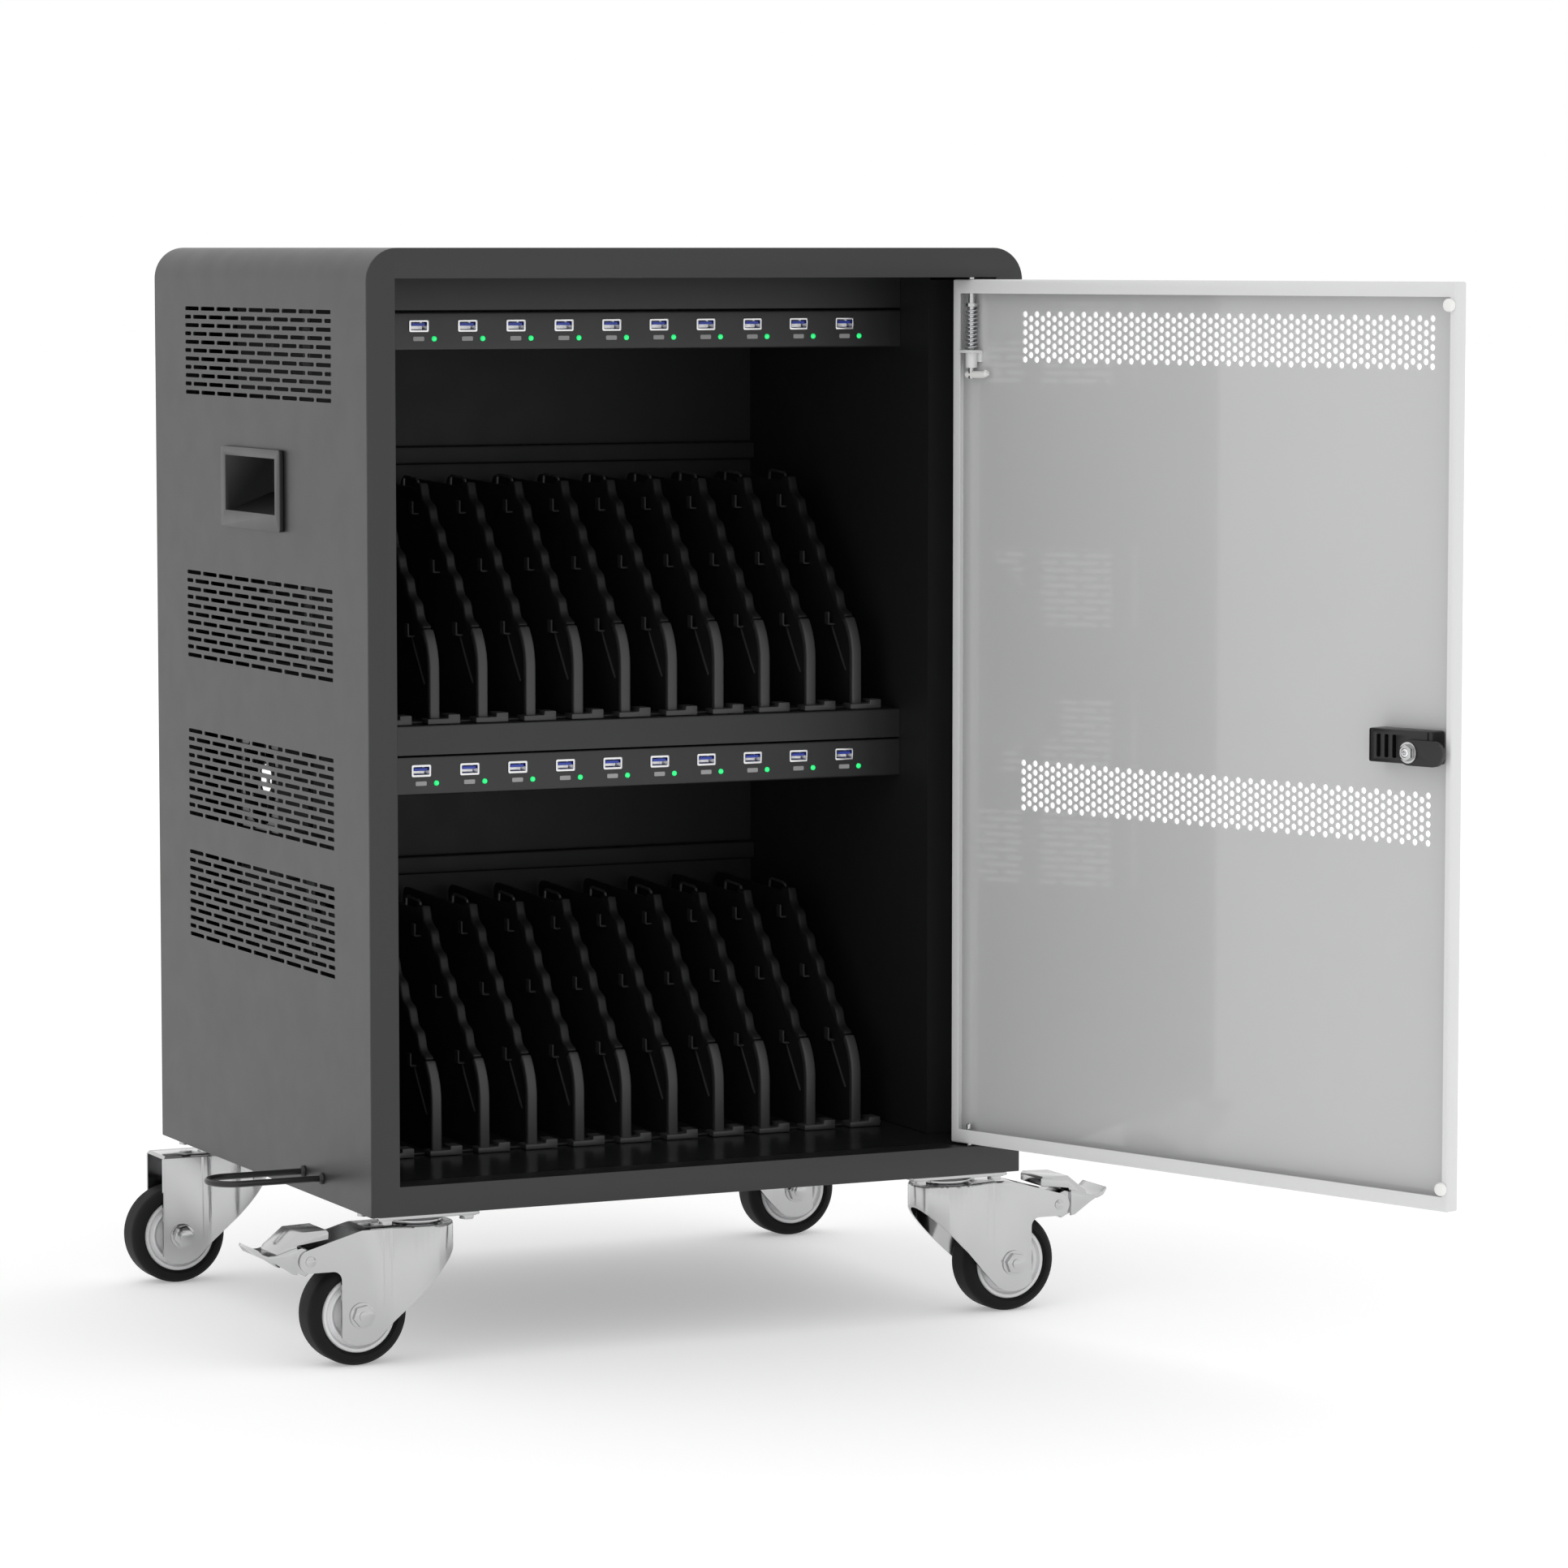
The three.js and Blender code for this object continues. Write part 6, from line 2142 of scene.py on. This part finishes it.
@dataclass
class Caster:
    """One caster as a pattern, with its swivel axis at the origin and its wheel towards -X.

    Attributes:
        places: swivel axes of the corners.
        trail: the axle from the swivel axis.
        axle_z: height of the axle.
        crown: top of the fork.
        half: half width over the fork's legs.
        sheet: the fork's wall.
        nose: radius of the fork's round front.
        straight: where the legs begin to flare towards that front.
        heel: the legs' rear edge.
        leg_end: radius of the legs round the axle.
        skirt: lower edge of the round front.
        crown_round: rounding between the crown and the walls.
        hinge: the pedal's pin, along the trail and in height.
        ear: radius of the fork's arm round that pin.
        wheel: radius of the tyre.
        bore: radius inside the tyre.
        width: half width of the tyre.
        axle: radius of the axle bolt.
        plate_half: half the mounting plate's length and width.
        bolt_place: the plate's bolts, from the swivel axis.
        tread_half: half the pedal's width.
        cheek: thickness of the pedal's cheeks.
        step_half: half the width of the pedal's raised step.
    """

    places: dict[str, Pair] = field(
        default_factory=lambda: {
            "front_left": (-226.0, -203.0),
            "front_right": (226.0, -203.0),
            "rear_left": (-226.0, 203.0),
            "rear_right": (226.0, 203.0),
        }
    )
    trail: float = -52.0
    axle_z: float = -76.0
    crown: float = -9.6
    half: float = 20.5
    sheet: float = 2.5
    nose: float = 29.0
    straight: float = -28.0
    heel: float = -68.0
    leg_end: float = 23.0
    skirt: float = -26.6
    crown_round: float = 3.4
    hinge: Pair = (-93.0, -32.0)
    ear: float = 9.0
    wheel: float = 40.0
    bore: float = 29.7
    width: float = 16.0
    axle: float = 4.0
    plate_half: Pair = (42, 31)
    bolt_place: Pair = (33.0, 22.5)
    tread_half: float = 20.0
    cheek: float = 2.4
    step_half: float = 18.0

    def place(self, corner: str) -> Matrix:
        """Where the pattern goes for one corner."""
        turn = Matrix.Rotation(math.pi, 4, "Z") if corner.endswith("right") else Matrix.Identity(4)
        return shift(*self.places[corner], 0) @ turn

    def plan(self, inset: float) -> list[Pair]:
        """The fork from above, straight legs flaring to a round nose.

        Args:
            inset: how far inside the outer skin the outline runs.

        Returns:
            The outline's corners.
        """
        half, radius = self.half - inset, self.nose - inset
        reach = math.hypot(self.straight, half)
        touch = math.degrees(math.atan2(half, self.straight) - math.acos(radius / reach))
        tail = self.hinge[0] - 2 * self.ear
        return [
            (tail, -half),
            (self.straight - 6, -half),
            (self.straight, -half - 0.3),
            *arc(0, 0, radius, -touch, touch, 24),
            (self.straight, half + 0.3),
            (self.straight - 6, half),
            (tail, half),
        ]

    def side(self, braked: bool) -> list[Pair]:
        """A fork's leg from the side, with an arm for the pedal if it is braked.

        Args:
            braked: whether the fork carries a pedal.

        Returns:
            The outline's corners.
        """
        x, z = self.hinge
        start = math.degrees(math.acos((self.heel - self.trail) / self.leg_end))
        points: list[Pair] = [(self.nose + 1, self.crown + 1)]
        if braked:
            points += [(-44.0, self.crown + 1), (-48.0, self.crown - 0.4)]
            points += arc(x, z, self.ear, 108, 270, 14)
            points += arc(self.heel - 7, z - self.ear - 7, 7, 90, 0, 8)
        else:
            points += [(self.heel + 3, self.crown + 1), (self.heel, self.crown - 3)]
        run, rise = self.nose - self.trail, self.skirt - self.axle_z
        touch = math.atan2(rise, run) - math.acos(self.leg_end / math.hypot(run, rise))
        end = 360 + math.degrees(touch)
        points += arc(self.trail, self.axle_z, self.leg_end, 360 - start, end, 16)
        return [*points, (self.nose, self.skirt), (self.nose + 1, self.skirt)]

    def build_plate(self) -> Piece:
        """The mounting plate with its bearing race and four bolts.

        Returns:
            The pattern.
        """
        u, v = self.plate_half
        plate = add_plate("caster_plate", rounded(-u, u, -v, v, 5), Axis.Z, -3.3, -0.3)
        soften(plate, 0.6)
        bearing = smooth(add_turned("caster_race", BEARING_RACE, Axis.Z, (0, 0, 0), 56), 30)
        bolts = []
        for x, y in product(*((-reach, reach) for reach in self.bolt_place)):
            hexagon = arc(x, y, 6.0, 0, 300, 5)
            bolts.append(soften(add_plate("caster_bolt", hexagon, Axis.Z, -7.2, -3.0), 0.6))
            washer = add_plate("caster_washer", disc(x, y, 7.6, 24), Axis.Z, -4.1, -3.0)
            bolts.append(soften(washer, 0.3))
        return fuse("caster_plate", plate, bearing, *bolts)

    def build_fork(self, braked: bool) -> Piece:
        """The pressed fork with its axle bolt, and the pedal's pin if it is braked.

        Args:
            braked: whether the fork carries a pedal.

        Returns:
            The pattern.
        """
        floor = self.axle_z - self.leg_end - 2
        fork = add_plate("caster_fork", self.plan(0), Axis.Z, floor, self.crown)
        self.round_crown(fork)
        room, roof = self.plan(self.sheet), self.crown - self.sheet
        carve(fork, add_plate("fork_room", room, Axis.Z, floor - 1, roof))
        profile = add_plate("fork_profile", self.side(braked), Axis.Y, -40, 40)
        modify(fork, "BOOLEAN", operation="INTERSECT", solver="MANIFOLD", object=profile)
        bpy.data.objects.remove(profile)
        smooth(soften(clean(fork), 0.7, 3, 55), 14)
        extras = [self.build_axle()]
        if braked:
            extras.append(self.build_pin())
        return fuse("caster_fork", fork, *extras)

    def round_crown(self, fork: Piece) -> None:
        """Rounds the bend between the fork's crown and its walls.

        Args:
            fork: the fork, still solid.
        """
        activate(fork)
        for edge in fork.data.edges:
            ends = [fork.data.vertices[i].co for i in edge.vertices]
            edge.select = all(abs(end.z - self.crown * MM) < 1e-6 for end in ends)
        bpy.ops.object.mode_set(mode="EDIT")
        bpy.ops.mesh.select_mode(type="EDGE")
        bpy.ops.mesh.bevel(offset=self.crown_round * MM, segments=4, clamp_overlap=True)
        bpy.ops.object.mode_set(mode="OBJECT")
        clean(fork)

    def build_axle(self) -> Piece:
        """The axle bolt with a washer, six-sided head and nut.

        Returns:
            The bolt.
        """
        r, half, x, z = self.axle, self.half, self.trail, self.axle_z
        profile = [(0, -half - 7), (r, -half - 6.4), (r, half + 7), (0, half + 8)]
        shank = add_turned("axle_shank", profile, Axis.Y, (x, 0, z), 24)
        washers, heads = [], []
        for low, high in ((-half - 1.4, -half + 0.2), (half - 0.2, half + 1.4)):
            washer = add_plate("axle_washer", disc(x, z, 10.0, 32), Axis.Y, low, high)
            washers.append(soften(washer, 0.3))
        for low, high in ((-half - 5.2, -half - 1.0), (half + 1.0, half + 5.6)):
            head = add_plate("axle_head", arc(x, z, 8.8, 10, 310, 5), Axis.Y, low, high)
            heads.append(soften(head, 0.5, 2))
        return fuse("axle_bolt", smooth(shank), *washers, *heads)

    def build_pin(self) -> Piece:
        """The pedal's pin with a low round head at each end.

        Returns:
            The pin.
        """
        x, z = self.hinge
        half = self.half
        head = [
            (0, -half - 1.8),
            (2.2, -half - 1.6),
            (4.0, -half - 0.6),
            (4.2, -half + 0.3),
            (2.5, -half + 0.3),
        ]
        profile = [*head, *((r, -h) for r, h in reversed(head))]
        return smooth(add_turned("pedal_pin", profile, Axis.Y, (x, 0, z), 24))

    def both_faces(self, name: str, face: list[Pair]) -> Piece:
        """Turns a profile and its mirror about the axle.

        Args:
            name: the piece's name.
            face: radius and height of one face, from the inside out.

        Returns:
            The piece.
        """
        profile = [*face, *((radius, -height) for radius, height in reversed(face))]
        return smooth(add_turned(name, profile, Axis.Y, (self.trail, 0, self.axle_z), 72), 30)

    def build_tyre(self) -> Piece:
        """The tyre with a round-shouldered tread and a lip against the hub.

        Returns:
            The pattern.
        """
        r, w = self.wheel, self.width
        lip = [
            (self.bore, w - 3.0),
            (self.bore + 0.5, w - 1.8),
            (self.bore + 1.4, w - 1.2),
            (self.bore + 1.8, w - 0.4),
            (self.bore + 2.2, w),
        ]
        shoulder = [(v, u) for u, v in arc(w - 8, r - 8, 8, 0, 90, 10)]
        return self.both_faces("tyre", [*lip, *shoulder])

    def build_hub(self) -> Piece:
        """The moulded hub with stepped rings on both faces."""
        return self.both_faces("wheel_hub", HUB_FACE)

    def pedal_part(self, name: str, outline: Sequence[Pair], low: float, high: float) -> Piece:
        """A plate of the pedal, drawn from its pin.

        Args:
            name: the piece's name.
            outline: the plate from the side, from the pin.
            low: its first face.
            high: its second face.

        Returns:
            The plate.
        """
        x, z = self.hinge
        return add_plate(name, [(x + u, z + v) for u, v in outline], Axis.Y, low, high)

    def build_pedal(self) -> Piece:
        """The brake pedal, a bent tread with an upturned tip on a hinge block.

        Returns:
            The pattern.
        """
        x, z = self.hinge
        inner = self.half - self.sheet - 0.3
        block = [
            *arc(x + 1, z + 1, 6.5, -60, 60, 8),
            (x - 6.0, z + 10.6),
            (x - 17.0, z + 8.0),
            (x - 17.0, z - 5.0),
            (x - 3.0, z - 11.6),
        ]
        carrier = soften(add_plate("pedal_block", block, Axis.Y, -inner, inner), 1.0, 3)
        half, wall, wide = self.tread_half, self.tread_half - self.cheek, self.step_half
        tread = self.pedal_part("pedal_tread", PEDAL_TREAD, -half, half)
        cheeks = [
            self.pedal_part("pedal_cheek", PEDAL_CHEEK, low, high)
            for low, high in ((-half, -wall), (wall, half))
        ]
        step = self.pedal_part("pedal_step", PEDAL_STEP, -wide, wide)
        weld(tread, *cheeks, soften(step, 0.8, 2))
        return fuse("brake_pedal", soften(clean(tread), 0.6, 2), carrier)

    def build(self) -> None:
        """Builds each pattern once and puts its copies on the four corners."""
        plate, tyre, hub = self.build_plate(), self.build_tyre(), self.build_hub()
        plain, braked, pedal = self.build_fork(False), self.build_fork(True), self.build_pedal()
        for corner in CORNERS:
            front = corner.startswith("front")
            rows = [
                (plate, "plate", ZINC_PLATE, "cabinet", "caster_plate"),
                (braked if front else plain, "pressed_fork", ZINC_PLATE, "fork", "caster_fork"),
                (tyre, "rubber", TYRE_RUBBER, "wheel", "tyre"),
                (hub, "hub", HUB_MOULDING, "wheel", "wheel_hub"),
            ]
            if front:
                rows.append((pedal, "pedal", ZINC_PLATE, "pedal", "brake_pedal"))
            for pattern, name, finish, body, node in rows:
                piece = twin(pattern, f"{name}_{corner}", self.place(corner))
                rides = body if body == "cabinet" else f"{body}_{corner}"
                dress(piece, finish, rides, f"{node}_{corner}")
        for pattern in (plate, tyre, hub, plain, braked, pedal):
            bpy.data.objects.remove(pattern)


# The studio


@dataclass
class Studio:
    """A pale floor, even white light and the camera of the photograph.

    Attributes:
        place: the camera's place, in metres.
        turn: its turn, in radians.
        lens: its lens, in millimetres.
        sensor: width of its sensor, in millimetres.
        sight: how far it sees, in metres.
        floor_z: height of the floor.
        reach: half the floor's side, in metres.
        floor_tone: the floor's colour.
        floor_roughness: the floor's roughness.
        floor_shine: strength of the floor's reflection.
        floor_glow: a little light of the floor's own, which keeps it pale.
        light: strength of the surrounding light.
    """

    place: Triple = (-1.8983, -4.4139, 0.7306)
    turn: Triple = (math.pi / 2 - 0.0895, 0.0, -0.4402)
    lens: float = 137.4
    sensor: float = 36.0
    sight: float = 200.0
    floor_z: float = -116.0
    reach: float = 40.0
    floor_tone: float = 0.82
    floor_roughness: float = 0.9
    floor_shine: float = 0.1
    floor_glow: float = 0.3
    light: float = 1.0

    def build_camera(self) -> None:
        """Sets up the camera and makes it the scene's own."""
        deselect()
        bpy.ops.object.camera_add(location=self.place, rotation=Euler(self.turn))
        camera = bpy.context.object
        camera.data.lens = self.lens
        camera.data.sensor_width = self.sensor
        camera.data.clip_end = self.sight
        bpy.context.scene.camera = camera

    def build_floor(self) -> None:
        """Lays the floor just under the wheels."""
        deselect()
        bpy.ops.mesh.primitive_plane_add(size=2 * self.reach, location=(0, 0, self.floor_z * MM))
        floor = settle(bpy.context.object, "studio_floor")
        material = bpy.data.materials.new("studio_floor")
        material.use_nodes = True
        shader = material.node_tree.nodes["Principled BSDF"]
        shader.inputs["Base Color"].default_value = (*[self.floor_tone] * 3, 1)
        shader.inputs["Roughness"].default_value = self.floor_roughness
        shader.inputs["Specular IOR Level"].default_value = self.floor_shine
        shader.inputs["Emission Color"].default_value = (1, 1, 1, 1)
        shader.inputs["Emission Strength"].default_value = self.floor_glow
        floor.data.materials.append(material)

    def build_light(self) -> None:
        """Fills the room with even white light and keeps its tones plain."""
        scene = bpy.context.scene
        world = bpy.data.worlds.new("studio_light")
        world.use_nodes = True
        ground = world.node_tree.nodes["Background"]
        ground.inputs["Color"].default_value = (1, 1, 1, 1)
        ground.inputs["Strength"].default_value = self.light
        scene.world = world
        scene.view_settings.view_transform = "Standard"
        scene.view_settings.look = "None"

    def build(self) -> None:
        """Sets up the whole studio."""
        self.build_camera()
        self.build_floor()
        self.build_light()


def main() -> None:
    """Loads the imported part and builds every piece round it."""
    logging.basicConfig(level=logging.INFO, format="%(name)s: %(message)s")
    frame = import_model()
    repaint(frame, GRAPHITE_COAT, "base_pan")
    repaint(frame, FLOOR_COAT, "floor_plate")
    repaint(frame, INNER_COAT, "left_liner", "right_liner", "rear_partition")
    repaint(frame, STEEL_CASE, "power_unit")
    repaint(frame, BLACK_MOULDING, "power_inlet", "fan_frame")
    for assembly in (Shell(), Interior(), Door(), Caster(), Studio()):
        assembly.build()
        log.info("%s is done", type(assembly).__name__)


if __name__ == "__main__":
    main()
